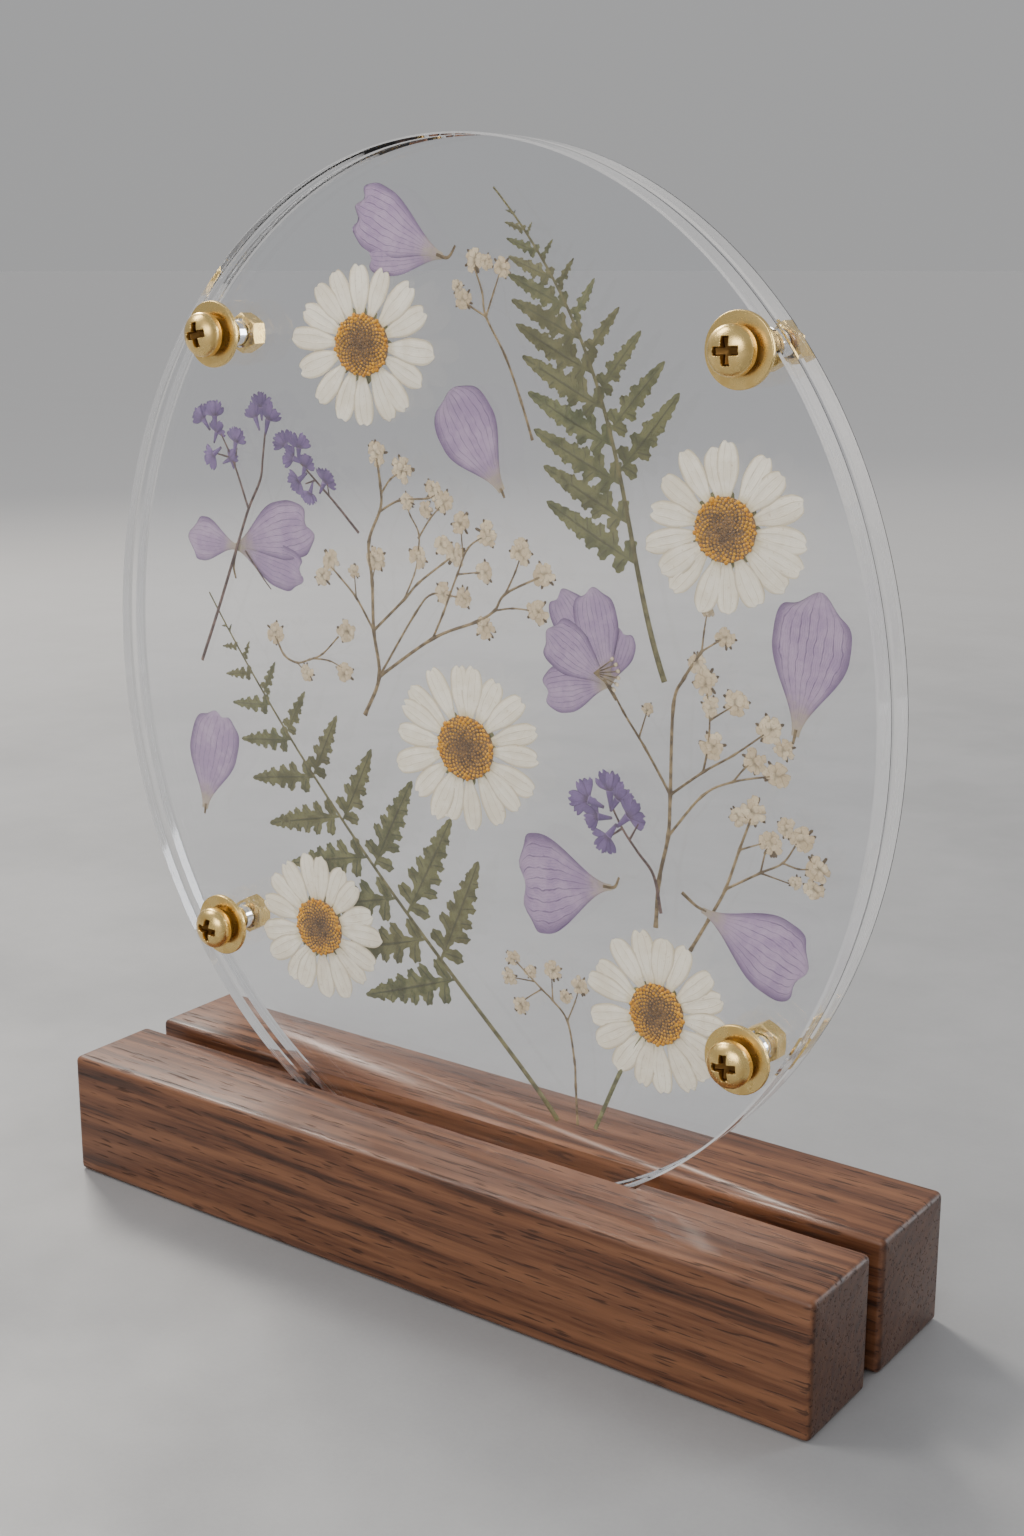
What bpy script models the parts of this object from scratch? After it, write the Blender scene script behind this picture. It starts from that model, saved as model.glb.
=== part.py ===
"""Pressed flower frame: two clear oval plates, bolted at four points over pressed flowers,
standing in a slotted walnut base.

Metres, +Z up. X runs along the base, -Y is the front, and the origin is on the surface that the
base stands on, below the middle of its length and depth. Flower shapes are drawn in the plate's own
plane, in millimetres right of and above the middle of the plates.
"""
import math

import bmesh
import bpy
from mathutils import Matrix, Vector

MM = 0.001
CLEARANCE = 0.3 * MM

# Walnut base: two bars with a spacer strip between them, which leaves a slot along the top.
BASE_LENGTH = 210 * MM
BAR_HEIGHT = 31 * MM
FRONT_BAR_DEPTH = 25 * MM
SLOT_WIDTH = 6 * MM
BACK_BAR_DEPTH = 29 * MM
BAR_EDGE = 1.2 * MM
SPACER_SETBACK = 3 * MM
SLOT_FLOOR = 16.2 * MM
POCKET_HALF_LENGTH = 50.5 * MM

# Clear plates, a pair with a narrow gap that holds the flowers.
PLATE_HALF_WIDTH = 103 * MM
PLATE_HALF_HEIGHT = 118 * MM
PLATE_THICKNESS = 6 * MM
PLATE_GAP = 1.4 * MM
PLATE_EDGE = 0.35 * MM
PLATE_SEGMENTS = 80

# Brass hardware, M5.
BOLT_HALF_WIDTH_TOP = 69 * MM
BOLT_HALF_WIDTH_BOTTOM = 73 * MM
BOLT_OFFSET_X = 2 * MM
BOLT_HEIGHT_TOP = 76 * MM
BOLT_HEIGHT_BOTTOM = -67 * MM
SHANK_RADIUS = 2.5 * MM
HOLE_RADIUS = 2.9 * MM
HEAD_RADIUS = 5 * MM
NECK_RADIUS = 4.1 * MM
NECK_HEIGHT = 1.4 * MM
HEAD_BAND = 1.5 * MM
HEAD_DOME = 2.6 * MM
WASHER_RADIUS = 7.5 * MM
WASHER_THICKNESS = 1.2 * MM
NUT_ACROSS_FLATS = 8 * MM
NUT_THICKNESS = 4 * MM
SHANK_BEYOND_NUT = 1.5 * MM
ROUND_SEGMENTS = 16

# Pressed flowers: two layers that share the gap, so that one piece can pass in front of another.
LAYER_THICKNESS = 0.25 * MM
HEAD_FLATNESS = 0.12 * MM

# Worked out from the sizes above.
BASE_DEPTH = FRONT_BAR_DEPTH + SLOT_WIDTH + BACK_BAR_DEPTH
BASE_FRONT = -BASE_DEPTH / 2
SLOT_FRONT = BASE_FRONT + FRONT_BAR_DEPTH
SLOT_BACK = SLOT_FRONT + SLOT_WIDTH
DISC_Y = (SLOT_FRONT + SLOT_BACK) / 2
DISC_THICKNESS = 2 * PLATE_THICKNESS + PLATE_GAP
DISC_FRONT = DISC_Y - DISC_THICKNESS / 2
DISC_BACK = DISC_Y + DISC_THICKNESS / 2
DISC_CENTRE_Z = SLOT_FLOOR + CLEARANCE + PLATE_HALF_HEIGHT
FRONT_LAYER_Y = DISC_Y - (LAYER_THICKNESS + CLEARANCE) / 2
BACK_LAYER_Y = DISC_Y + (LAYER_THICKNESS + CLEARANCE) / 2
BOLTS = {
    "top_left": (BOLT_OFFSET_X - BOLT_HALF_WIDTH_TOP, BOLT_HEIGHT_TOP),
    "top_right": (BOLT_OFFSET_X + BOLT_HALF_WIDTH_TOP, BOLT_HEIGHT_TOP),
    "bottom_left": (BOLT_OFFSET_X - BOLT_HALF_WIDTH_BOTTOM, BOLT_HEIGHT_BOTTOM),
    "bottom_right": (BOLT_OFFSET_X + BOLT_HALF_WIDTH_BOTTOM, BOLT_HEIGHT_BOTTOM),
}


# ---------------------------------------------------------------- scene, collections, materials

def clear_scene():
    for obj in list(bpy.data.objects):
        bpy.data.objects.remove(obj, do_unlink=True)


def new_collection(name):
    collection = bpy.data.collections.new(name)
    bpy.context.scene.collection.children.link(collection)
    return collection


def new_material(name, colour, roughness, metallic=0.0, transmission=0.0, ior=1.5):
    material = bpy.data.materials.new(name)
    material.use_nodes = True
    shader = material.node_tree.nodes["Principled BSDF"]
    shader.inputs["Base Color"].default_value = (*colour, 1.0)
    shader.inputs["Roughness"].default_value = roughness
    shader.inputs["Metallic"].default_value = metallic
    shader.inputs["Transmission Weight"].default_value = transmission
    shader.inputs["IOR"].default_value = ior
    material.diffuse_color = (*colour, 1.0)
    return material


clear_scene()
PART = new_collection("pressed_flower_frame")
CUTTERS = new_collection("cutters")
WALNUT = new_material("walnut", (0.20, 0.10, 0.055), 0.45)
ACRYLIC = new_material("clear_acrylic", (0.97, 0.98, 0.99), 0.02, transmission=1.0, ior=1.49)
BRASS = new_material("brass", (0.78, 0.58, 0.27), 0.28, metallic=1.0)
IVORY = new_material("ivory_petal", (0.86, 0.82, 0.70), 0.7)
FERN_GREEN = new_material("fern_green", (0.16, 0.19, 0.07), 0.75)
STRAW = new_material("dried_spray", (0.72, 0.62, 0.42), 0.8)
LILAC = new_material("lilac_petal", (0.50, 0.38, 0.58), 0.65)
VIOLET = new_material("violet_floret", (0.26, 0.17, 0.42), 0.65)


def put_in(obj, collection):
    for old in list(obj.users_collection):
        old.objects.unlink(obj)
    collection.objects.link(obj)


def finish_piece(obj, name, material):
    obj.name = name
    obj.data.name = name
    obj.data.materials.clear()
    obj.data.materials.append(material)
    put_in(obj, PART)
    return obj


def finish_cutter(obj, name):
    obj.name = name
    obj.hide_render = True
    obj.display_type = "WIRE"
    put_in(obj, CUTTERS)
    return obj


def apply_scale(obj):
    obj.data.transform(Matrix.Diagonal((*obj.scale, 1.0)))
    obj.scale = (1.0, 1.0, 1.0)


# ---------------------------------------------------------------- shapes and modifiers

def box(low, high):
    """A cube primitive stretched between two corners, with its scale applied."""
    size = [b - a for a, b in zip(low, high)]
    middle = [(a + b) / 2 for a, b in zip(low, high)]
    bpy.ops.mesh.primitive_cube_add(size=1, location=middle)
    obj = bpy.context.object
    obj.scale = size
    apply_scale(obj)
    return obj


def rod_along_y(radius, length, centre, segments):
    """A cylinder primitive that lies along Y."""
    bpy.ops.mesh.primitive_cylinder_add(
        vertices=segments, radius=radius, depth=length, location=centre,
        rotation=(math.pi / 2, 0, 0))
    return bpy.context.object


def bevel(obj, width, segments, angle=40):
    modifier = obj.modifiers.new("eased edges", "BEVEL")
    modifier.width = width
    modifier.segments = segments
    modifier.limit_method = "ANGLE"
    modifier.angle_limit = math.radians(angle)


def boolean(obj, other, operation, self_crossing=False):
    modifier = obj.modifiers.new(operation.lower(), "BOOLEAN")
    modifier.operation = operation
    modifier.solver = "EXACT"
    modifier.object = other
    modifier.use_self = self_crossing


def turned(profile, segments=ROUND_SEGMENTS):
    """A profile of (radius, height) points, top to bottom down its outer side, turned about Z."""
    mesh = bpy.data.meshes.new("profile")
    edges = [(i, i + 1) for i in range(len(profile) - 1)]
    if profile[0][0] > 0:
        edges.append((len(profile) - 1, 0))
    mesh.from_pydata([(r, 0, z) for r, z in profile], edges, [])
    obj = bpy.data.objects.new("turned", mesh)
    PART.objects.link(obj)
    screw = obj.modifiers.new("turn", "SCREW")
    screw.axis = "Z"
    screw.steps = segments
    screw.render_steps = segments
    screw.use_merge_vertices = True
    screw.merge_threshold = 0.01 * MM
    return obj


# ---------------------------------------------------------------- walnut base

def make_pocket_cutter():
    """The routed pocket: the slot is wider where the plates stand in it."""
    half_width = DISC_THICKNESS / 2 + CLEARANCE
    cutter = box((-POCKET_HALF_LENGTH, DISC_Y - half_width, SLOT_FLOOR),
                 (POCKET_HALF_LENGTH, DISC_Y + half_width, 2 * BAR_HEIGHT))
    return finish_cutter(cutter, "pocket_cutter")


def make_bar(name, front, back, pocket):
    bar = box((-BASE_LENGTH / 2, front, 0), (BASE_LENGTH / 2, back, BAR_HEIGHT))
    bevel(bar, BAR_EDGE, 2)
    boolean(bar, pocket, "DIFFERENCE")
    return finish_piece(bar, name, WALNUT)


def make_spacer():
    half_length = BASE_LENGTH / 2 - SPACER_SETBACK
    strip = box((-half_length, SLOT_FRONT + CLEARANCE, 0),
                (half_length, SLOT_BACK - CLEARANCE, SLOT_FLOOR))
    return finish_piece(strip, "base_slot_spacer", WALNUT)


# ---------------------------------------------------------------- plates and hardware

def make_plate(name, front, bores):
    """An oval plate, cut from sheet, with eased rims and a bore for each bolt."""
    plate = rod_along_y(1, 1, (0, front + PLATE_THICKNESS / 2, DISC_CENTRE_Z), PLATE_SEGMENTS)
    plate.scale = (PLATE_HALF_WIDTH, PLATE_HALF_HEIGHT, PLATE_THICKNESS)
    apply_scale(plate)
    bevel(plate, PLATE_EDGE, 1, angle=60)
    for bore in bores:
        boolean(plate, bore, "DIFFERENCE")
    return finish_piece(plate, name, ACRYLIC)


def bolt_place(corner, y):
    x, z = BOLTS[corner]
    return Vector((x, y, DISC_CENTRE_Z + z))


def make_bore(corner):
    bore = rod_along_y(HOLE_RADIUS, 2 * DISC_THICKNESS, bolt_place(corner, DISC_Y), ROUND_SEGMENTS)
    return finish_cutter(bore, f"bore_{corner}")


def make_screw(corner):
    """Domed head with an upright band and a narrower neck, on a plain shank."""
    seat = CLEARANCE
    shank_end = -(WASHER_THICKNESS + DISC_THICKNESS + NUT_THICKNESS + SHANK_BEYOND_NUT
                  + 3 * CLEARANCE)
    band_bottom = seat + NECK_HEIGHT
    band_top = band_bottom + HEAD_BAND
    dome = [(HEAD_RADIUS * math.sin(a), band_top + HEAD_DOME * math.cos(a))
            for a in [math.radians(step) for step in (0, 30, 60, 90)]]
    profile = dome + [(HEAD_RADIUS, band_bottom), (NECK_RADIUS, band_bottom), (NECK_RADIUS, seat),
                      (SHANK_RADIUS, seat), (SHANK_RADIUS, shank_end), (0, shank_end)]
    screw = turned(profile)
    screw.location = bolt_place(corner, DISC_FRONT - CLEARANCE - WASHER_THICKNESS)
    screw.rotation_euler = (math.pi / 2, 0, 0)
    return finish_piece(screw, f"screw_{corner}", BRASS)


def make_washer(corner):
    chamfer = 0.2 * MM
    inner = SHANK_RADIUS + CLEARANCE
    top = WASHER_THICKNESS
    profile = [(inner, top), (WASHER_RADIUS - chamfer, top), (WASHER_RADIUS, top - chamfer),
               (WASHER_RADIUS, chamfer), (WASHER_RADIUS - chamfer, 0), (inner, 0)]
    washer = turned(profile)
    washer.location = bolt_place(corner, DISC_FRONT - CLEARANCE)
    washer.rotation_euler = (math.pi / 2, 0, 0)
    return finish_piece(washer, f"washer_{corner}", BRASS)


def make_nut(corner):
    across_corners = NUT_ACROSS_FLATS / math.cos(math.pi / 6)
    centre = bolt_place(corner, DISC_BACK + CLEARANCE + NUT_THICKNESS / 2)
    thread = rod_along_y(SHANK_RADIUS + CLEARANCE, 2 * NUT_THICKNESS, centre, ROUND_SEGMENTS)
    finish_cutter(thread, f"nut_thread_{corner}")
    nut = rod_along_y(across_corners / 2, NUT_THICKNESS, centre, 6)
    boolean(nut, thread, "DIFFERENCE")
    return finish_piece(nut, f"nut_{corner}", BRASS)


# ---------------------------------------------------------------- pressed flowers

def on_plate(x, z, y):
    """A place in the plate's plane, in millimetres from its middle, as a point in the room."""
    return Vector((x * MM, y, DISC_CENTRE_Z + z * MM))


def mesh_from_curve(curve_object):
    """The curve's surface as a mesh object, with its caps welded on."""
    graph = bpy.context.evaluated_depsgraph_get()
    graph.update()
    mesh = bpy.data.meshes.new_from_object(curve_object.evaluated_get(graph))
    soup = bmesh.new()
    soup.from_mesh(mesh)
    bmesh.ops.remove_doubles(soup, verts=soup.verts, dist=0.001 * MM)
    bmesh.ops.recalc_face_normals(soup, faces=soup.faces)
    soup.to_mesh(mesh)
    soup.free()
    obj = bpy.data.objects.new(curve_object.name, mesh)
    obj.matrix_world = curve_object.matrix_world
    PART.objects.link(obj)
    bpy.data.objects.remove(curve_object, do_unlink=True)
    return obj


def flat_outline(outline, layer_y):
    """A closed outline, in plate millimetres, filled and given the layer's thickness."""
    curve = bpy.data.curves.new("outline", "CURVE")
    curve.dimensions = "2D"
    curve.fill_mode = "BOTH"
    curve.extrude = LAYER_THICKNESS / 2
    spline = curve.splines.new("POLY")
    spline.points.add(len(outline) - 1)
    for point, (x, z) in zip(spline.points, outline):
        point.co = (x * MM, z * MM, 0, 1)
    spline.use_cyclic_u = True
    obj = bpy.data.objects.new("outline", curve)
    obj.location = on_plate(0, 0, layer_y)
    obj.rotation_euler = (math.pi / 2, 0, 0)
    PART.objects.link(obj)
    bpy.context.view_layer.update()
    return mesh_from_curve(obj)


def stem(points, radius_mm, layer_y, thinning=1.0):
    """A pressed stem: a thin tube through the points, squeezed flat into its layer."""
    curve = bpy.data.curves.new("stem", "CURVE")
    curve.dimensions = "3D"
    curve.bevel_depth = radius_mm * MM
    curve.bevel_resolution = 0
    curve.use_fill_caps = True
    spline = curve.splines.new("POLY")
    spline.points.add(len(points) - 1)
    for point, (x, z) in zip(spline.points, points):
        point.co = (x * MM, 0, z * MM, 1)
    obj = bpy.data.objects.new("stem", curve)
    obj.location = on_plate(0, 0, layer_y)
    PART.objects.link(obj)
    bpy.context.view_layer.update()
    tube = mesh_from_curve(obj)
    tube.scale.y = thinning * HEAD_FLATNESS / (radius_mm * MM)
    apply_scale(tube)
    return tube


def flower_head(x, z, radius_mm, layer_y):
    """A small pressed flower head: a ball squeezed flat into its layer."""
    bpy.ops.mesh.primitive_ico_sphere_add(
        subdivisions=1, radius=radius_mm * MM, location=on_plate(x, z, layer_y))
    head = bpy.context.object
    head.scale.y = HEAD_FLATNESS / (radius_mm * MM)
    apply_scale(head)
    return head


def joined(objects):
    """The objects as one object, as loose bodies that may cross each other."""
    bpy.ops.object.select_all(action="DESELECT")
    for obj in objects:
        obj.select_set(True)
    bpy.context.view_layer.objects.active = objects[0]
    bpy.ops.object.join()
    return objects[0]


def grown_piece(name, first, other, material):
    """One grown piece: the first solid, united with the other."""
    finish_cutter(other, f"{name}_rest")
    boolean(first, other, "UNION", self_crossing=True)
    return finish_piece(first, name, material)


def daisy_outline(centre, half_width, half_height, petals):
    """Rounded petals round a ring: a notch, two shoulders and a blunt tip for each petal."""
    corners = ((-0.50, 0.44), (-0.36, 0.84), (-0.12, 1.0), (0.12, 1.0), (0.36, 0.84))
    outline = []
    for petal in range(petals):
        for step, reach in corners:
            angle = 2 * math.pi * (petal + step) / petals
            outline.append((centre[0] + reach * half_width * math.cos(angle),
                            centre[1] + reach * half_height * math.sin(angle)))
    return outline


def bezier(ends, t):
    """A point and the direction of travel on a cubic Bezier curve through four plate points."""
    a, b, c, d = (Vector(p) for p in ends)
    s = 1 - t
    point = s ** 3 * a + 3 * s * s * t * b + 3 * s * t * t * c + t ** 3 * d
    travel = 3 * s * s * (b - a) + 6 * s * t * (c - b) + 3 * t * t * (d - c)
    return point, travel.normalized()


def leaflet_side(rachis, side, first, count, longest, power, lean):
    """Leaflets up one side of a fern. They shorten towards the tip by one minus u to a power."""
    outline = []
    for k in range(count):
        u = 1 - (1 - k / count) ** 1.2
        root, along = bezier(rachis, first + (0.97 - first) * u)
        out = Vector((-along.y, along.x)) * side
        length = longest * (1 - u ** power)
        way = along * math.cos(lean) + out * math.sin(lean)
        up = (along - way * along.dot(way)).normalized()
        stalk = 0.4
        outline += [root + out * stalk - along * 0.5,
                    root + way * length * 0.35 - up * length * 0.11,
                    root + way * length,
                    root + way * length * 0.35 + up * length * 0.11,
                    root + out * stalk + along * 0.5]
    return outline


def fern_outline(rachis, left, right):
    """A fern frond: up the left side, over the tip and down the right side."""
    base, along = bezier(rachis, 0)
    out = Vector((-along.y, along.x)) * 0.5
    tip = bezier(rachis, 1)[0]
    return ([base - out, base + out] + leaflet_side(rachis, 1, *left) + [tip]
            + leaflet_side(rachis, -1, *right)[::-1])


def petal_outline(root, tip, half_width, fullness, points=7):
    """A petal from its stalk to its tip. Its half width follows a sine, pushed towards the tip."""
    root, tip = Vector(root), Vector(tip)
    across = Vector((root.y - tip.y, tip.x - root.x)).normalized()
    left, right = [], []
    for k in range(points):
        t = (k + 0.5) / points
        width = half_width * math.sin(math.pi * t ** fullness) ** 0.8
        middle = root.lerp(tip, t)
        left.append(middle + across * width)
        right.append(middle - across * width)
    return [root] + left + [tip] + right[::-1]


# name: (middle, half width, half height, petals)
DAISIES = {
    "daisy_top_left": ((-26.5, 74.4), 20.8, 18.3, 17),
    "daisy_right": ((66, 41), 19.3, 18, 17),
    "daisy_centre": ((1.5, -12.5), 21.8, 20, 18),
    "daisy_bottom_left": ((-43, -63.3), 19.5, 19, 17),
}

# name: (Bezier ends, left leaflets, right leaflets),
# each side: (first place along the rachis, count, longest, power, lean from the rachis)
FERNS = {
    "fern_upper": (((52.4, 8.6), (40, 38), (44, 72), (9, 107)),
                   (0.24, 13, 24, 2.0, math.radians(62)),
                   (0.42, 10, 20, 1.5, math.radians(40))),
    "fern_lower": (((26.7, -95.4), (12, -78), (-36, -44), (-76.3, 14.9)),
                   (0.30, 13, 27, 1.8, math.radians(52)),
                   (0.30, 13, 27, 1.6, math.radians(52))),
}

# name: (layer, flower head radius, stems as (radius, points), head places)
SPRAYS = {
    "gypsophila_top": (
        BACK_LAYER_Y, 2.4,
        [(0.3, [(19, 56), (16, 64), (7, 81), (4, 90)]),
         (0.25, [(7, 81), (10.5, 90)]), (0.25, [(7, 81), (1.5, 84)])],
        [(4, 91.6), (10.4, 91), (1, 84.5)]),
    "gypsophila_large": (
        BACK_LAYER_Y, 2.6,
        [(0.45, [(-28, -9), (-23.5, 0.5), (-25, 11), (-26, 31), (-22, 40), (-23.3, 50)]),
         (0.3, [(-25, 11), (-30, 18), (-37, 25)]),
         (0.3, [(-23, 38), (-17, 41), (-7, 43)]), (0.25, [(-22.2, 42), (-16, 47)]),
         (0.3, [(-25, 11), (-16, 19), (-12, 23), (0, 32)]),
         (0.25, [(-16, 19), (-12, 28)]), (0.25, [(-1, 31), (0.4, 36)]),
         (0.3, [(-23.5, 0.5), (-13, 16), (0, 21)]),
         (0.35, [(-23.5, 0.5), (-8, 11), (6, 17), (12, 23), (21, 27)]),
         (0.25, [(-8, 11), (-1, 26), (6.5, 35)]), (0.25, [(12, 23), (16, 32)]),
         (0.25, [(-1, 26), (5, 27)]), (0.25, [(8.6, 19.6), (19.5, 20)])],
        [(-23.3, 50.6), (-16, 47), (-37, 25), (-25.5, 27), (-12, 28.6), (-7, 43.5), (0.4, 36.5),
         (6.8, 35.4), (5.4, 27), (0, 21), (16, 32), (21.6, 28), (20, 20), (6, 16.8)]),
    "gypsophila_left": (
        FRONT_LAYER_Y, 2.4,
        [(0.3, [(-54.5, 6), (-49, 0.8), (-40, 4), (-34.5, 9)]), (0.25, [(-43, 2.7), (-34, 1)])],
        [(-54.5, 7), (-33, 9.6), (-33.4, 0.8)]),
    "gypsophila_right": (
        BACK_LAYER_Y, 2.5,
        [(0.45, [(51.5, -44.5), (52, -34), (54, -24), (54.3, -15), (54.2, 5.5), (61, 16), (66, 19)]),
         (0.3, [(54.3, -15), (62, -9), (76, 1)]),
         (0.3, [(54, -24), (62, -14), (69, -10), (78, -7.4)]),
         (0.3, [(62, -14), (63.3, 3), (62.2, 9.5)]), (0.25, [(69, -10), (73.5, -5)]),
         (0.25, [(63.2, 2), (69, 6)]),
         (0.3, [(54.3, -15), (48, -6), (41, 2.5)])],
        [(66, 19.2), (62.2, 10), (69, 6.4), (64, -3.2), (76.6, 1.8), (73.6, -4.6), (78.8, -7)]),
    "gypsophila_lower_right": (
        BACK_LAYER_Y, 2.5,
        [(0.35, [(60, -48), (68, -33), (71, -24), (74, -16)]),
         (0.3, [(68, -33), (76, -28), (81, -25), (85, -20)]), (0.25, [(76, -28), (77.6, -21.5)]),
         (0.25, [(71, -24), (77.6, -21.5)]), (0.25, [(81, -25), (88.4, -25)])],
        [(74.2, -15.4), (78, -21), (85, -19.4), (88.6, -25)]),
    "gypsophila_bottom": (
        BACK_LAYER_Y, 2.4,
        [(0.35, [(32, -95), (31, -82), (29, -71), (24.5, -66), (14.5, -60)]),
         (0.25, [(29, -71), (31.6, -62.5)]), (0.25, [(24.5, -66), (24.6, -60)]),
         (0.25, [(24.5, -66), (16.5, -69)])],
        [(14.2, -59.8), (24.6, -59.8), (31.6, -62), (16.4, -69.4)]),
    "larkspur_sprig": (
        FRONT_LAYER_Y, 3.6,
        [(0.5, [(-79, -2), (-66, 27), (-62, 36), (-58, 43), (-56.2, 55.6)]),
         (0.35, [(-62, 36), (-66, 46), (-71, 55)]), (0.3, [(-66.2, 46.4), (-65, 51)]),
         (0.3, [(-67.4, 48.6), (-72, 48)])],
        [(-54.5, 57.5), (-60, 58), (-71.5, 57.5), (-76, 56.5), (-65, 52), (-72.5, 48)]),
    "larkspur_side_sprig": (
        FRONT_LAYER_Y, 3,
        [(0.35, [(-28.5, 33), (-35, 39), (-49, 50.5)])],
        [(-50, 51.2), (-44.6, 45), (-38, 42.6)]),
    "larkspur_small": (
        FRONT_LAYER_Y, 4.2,
        [(0.4, [(53, -41), (51, -33), (43, -24), (38, -18)]), (0.3, [(43.2, -24.2), (38.5, -27)])],
        [(39.5, -15), (45.5, -20.5), (38, -27), (32.5, -19)]),
}

# name: (layer, stalk, tip, half width, fullness)
PETALS = {
    "petal_top": (BACK_LAYER_Y, (-2.6, 93), (-27, 101), 9, 1.1),
    "petal_upper": (FRONT_LAYER_Y, (12, 44.5), (-3, 66), 7.5, 1.2),
    "petal_left": (FRONT_LAYER_Y, (-80, -40), (-74, -14), 7.8, 1.3),
    "petal_right": (FRONT_LAYER_Y, (83, 1.5), (88, 29.5), 8.6, 1.2),
    "petal_centre": (FRONT_LAYER_Y, (42, -37.5), (18, -42), 11, 1.1),
    "petal_lower_right": (FRONT_LAYER_Y, (60, -37), (87, -46), 8.5, 1.4),
    "petal_pair_left": (BACK_LAYER_Y, (-79, 27), (-46, 30), 6.5, 1.1),
    "larkspur_flower": (FRONT_LAYER_Y, (40, 5), (27, 22), 9, 1.0),
}


def make_daisies():
    for name, (centre, half_width, half_height, petals) in DAISIES.items():
        outline = daisy_outline(centre, half_width, half_height, petals)
        finish_piece(flat_outline(outline, FRONT_LAYER_Y), name, IVORY)


def make_stemmed_daisy():
    head = flat_outline(daisy_outline((52.5, -63.8), 18.6, 19, 17), FRONT_LAYER_Y)
    stalk = stem([(50, -68), (44, -78), (37, -94.5)], 0.55, FRONT_LAYER_Y)
    grown_piece("daisy_bottom_right", head, stalk, IVORY)


def make_ferns():
    for name, (rachis, left, right) in FERNS.items():
        outline = fern_outline(rachis, left, right)
        finish_piece(flat_outline(outline, BACK_LAYER_Y), name, FERN_GREEN)


def make_sprays():
    for name, (layer_y, head_radius, stems, heads) in SPRAYS.items():
        solids = [stem(points, radius, layer_y, 0.95 - 0.04 * number)
                  for number, (radius, points) in enumerate(stems)]
        solids += [flower_head(x, z, head_radius, layer_y) for x, z in heads]
        material = VIOLET if name.startswith("larkspur") else STRAW
        grown_piece(name, solids[0], joined(solids[1:]), material)


def make_petals():
    for name, (layer_y, root, tip, half_width, fullness) in PETALS.items():
        outline = petal_outline(root, tip, half_width, fullness)
        finish_piece(flat_outline(outline, layer_y), name, LILAC)


def main():
    pocket = make_pocket_cutter()
    make_bar("base_front_bar", BASE_FRONT, SLOT_FRONT, pocket)
    make_bar("base_back_bar", SLOT_BACK, -BASE_FRONT, pocket)
    make_spacer()
    bores = [make_bore(corner) for corner in BOLTS]
    make_plate("plate_front", DISC_FRONT, bores)
    make_plate("plate_back", DISC_BACK - PLATE_THICKNESS, bores)
    for corner in BOLTS:
        make_screw(corner)
        make_washer(corner)
        make_nut(corner)
    make_daisies()
    make_stemmed_daisy()
    make_ferns()
    make_sprays()
    make_petals()


main()
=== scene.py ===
"""Finished look of the pressed flower frame.

Two clear oval plates hold pressed daisies, fern fronds, dried sprays, larkspur and loose petals.
Brass bolts clamp the plates, and they stand in a slotted walnut base. Sizes are in metres unless a
name or a docstring says millimetres. +X runs right along the base, -Y is the front, +Z is up.
Flowers are laid out in the plates' own plane: millimetres right of and above the plates' middle.
"""
from __future__ import annotations

import logging
import math
from collections.abc import Iterable, Sequence
from dataclasses import dataclass, field
from enum import Enum

import bpy
import numpy as np
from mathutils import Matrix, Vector
from mathutils.geometry import tessellate_polygon

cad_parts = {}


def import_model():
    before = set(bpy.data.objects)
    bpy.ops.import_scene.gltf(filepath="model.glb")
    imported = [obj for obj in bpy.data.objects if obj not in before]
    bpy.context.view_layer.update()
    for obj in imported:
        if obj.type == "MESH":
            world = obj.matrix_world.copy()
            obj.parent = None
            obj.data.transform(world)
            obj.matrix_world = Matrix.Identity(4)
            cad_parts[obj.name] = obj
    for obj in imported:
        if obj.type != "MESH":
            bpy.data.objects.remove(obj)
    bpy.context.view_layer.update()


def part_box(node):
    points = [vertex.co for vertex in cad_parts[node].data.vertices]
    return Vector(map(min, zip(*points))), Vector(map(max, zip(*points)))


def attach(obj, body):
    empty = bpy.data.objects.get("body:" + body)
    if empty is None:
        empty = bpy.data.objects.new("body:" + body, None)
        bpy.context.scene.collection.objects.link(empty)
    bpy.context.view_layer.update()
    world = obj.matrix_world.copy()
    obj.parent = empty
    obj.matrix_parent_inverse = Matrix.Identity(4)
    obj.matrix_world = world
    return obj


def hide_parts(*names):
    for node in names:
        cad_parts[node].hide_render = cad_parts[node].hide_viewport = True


LOG = logging.getLogger("pressed_flower_frame")
MM = 0.001
UV_NAME = "blade"
TONE_NAME = "tone"
GOLDEN_TURN = math.pi * (3 - math.sqrt(5))
Array = np.ndarray
Point = tuple[float, float]
Colour = tuple[float, float, float]


# ------------------------------------------------------------------------------ skins and meshes

class Ends(Enum):
    """How the two ends of a skin of rings are closed."""

    FANS = "triangles from each end ring to its middle"
    STRIPS = "quads across each flat end"
    LOOPED = "the last ring joins the first"


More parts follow.
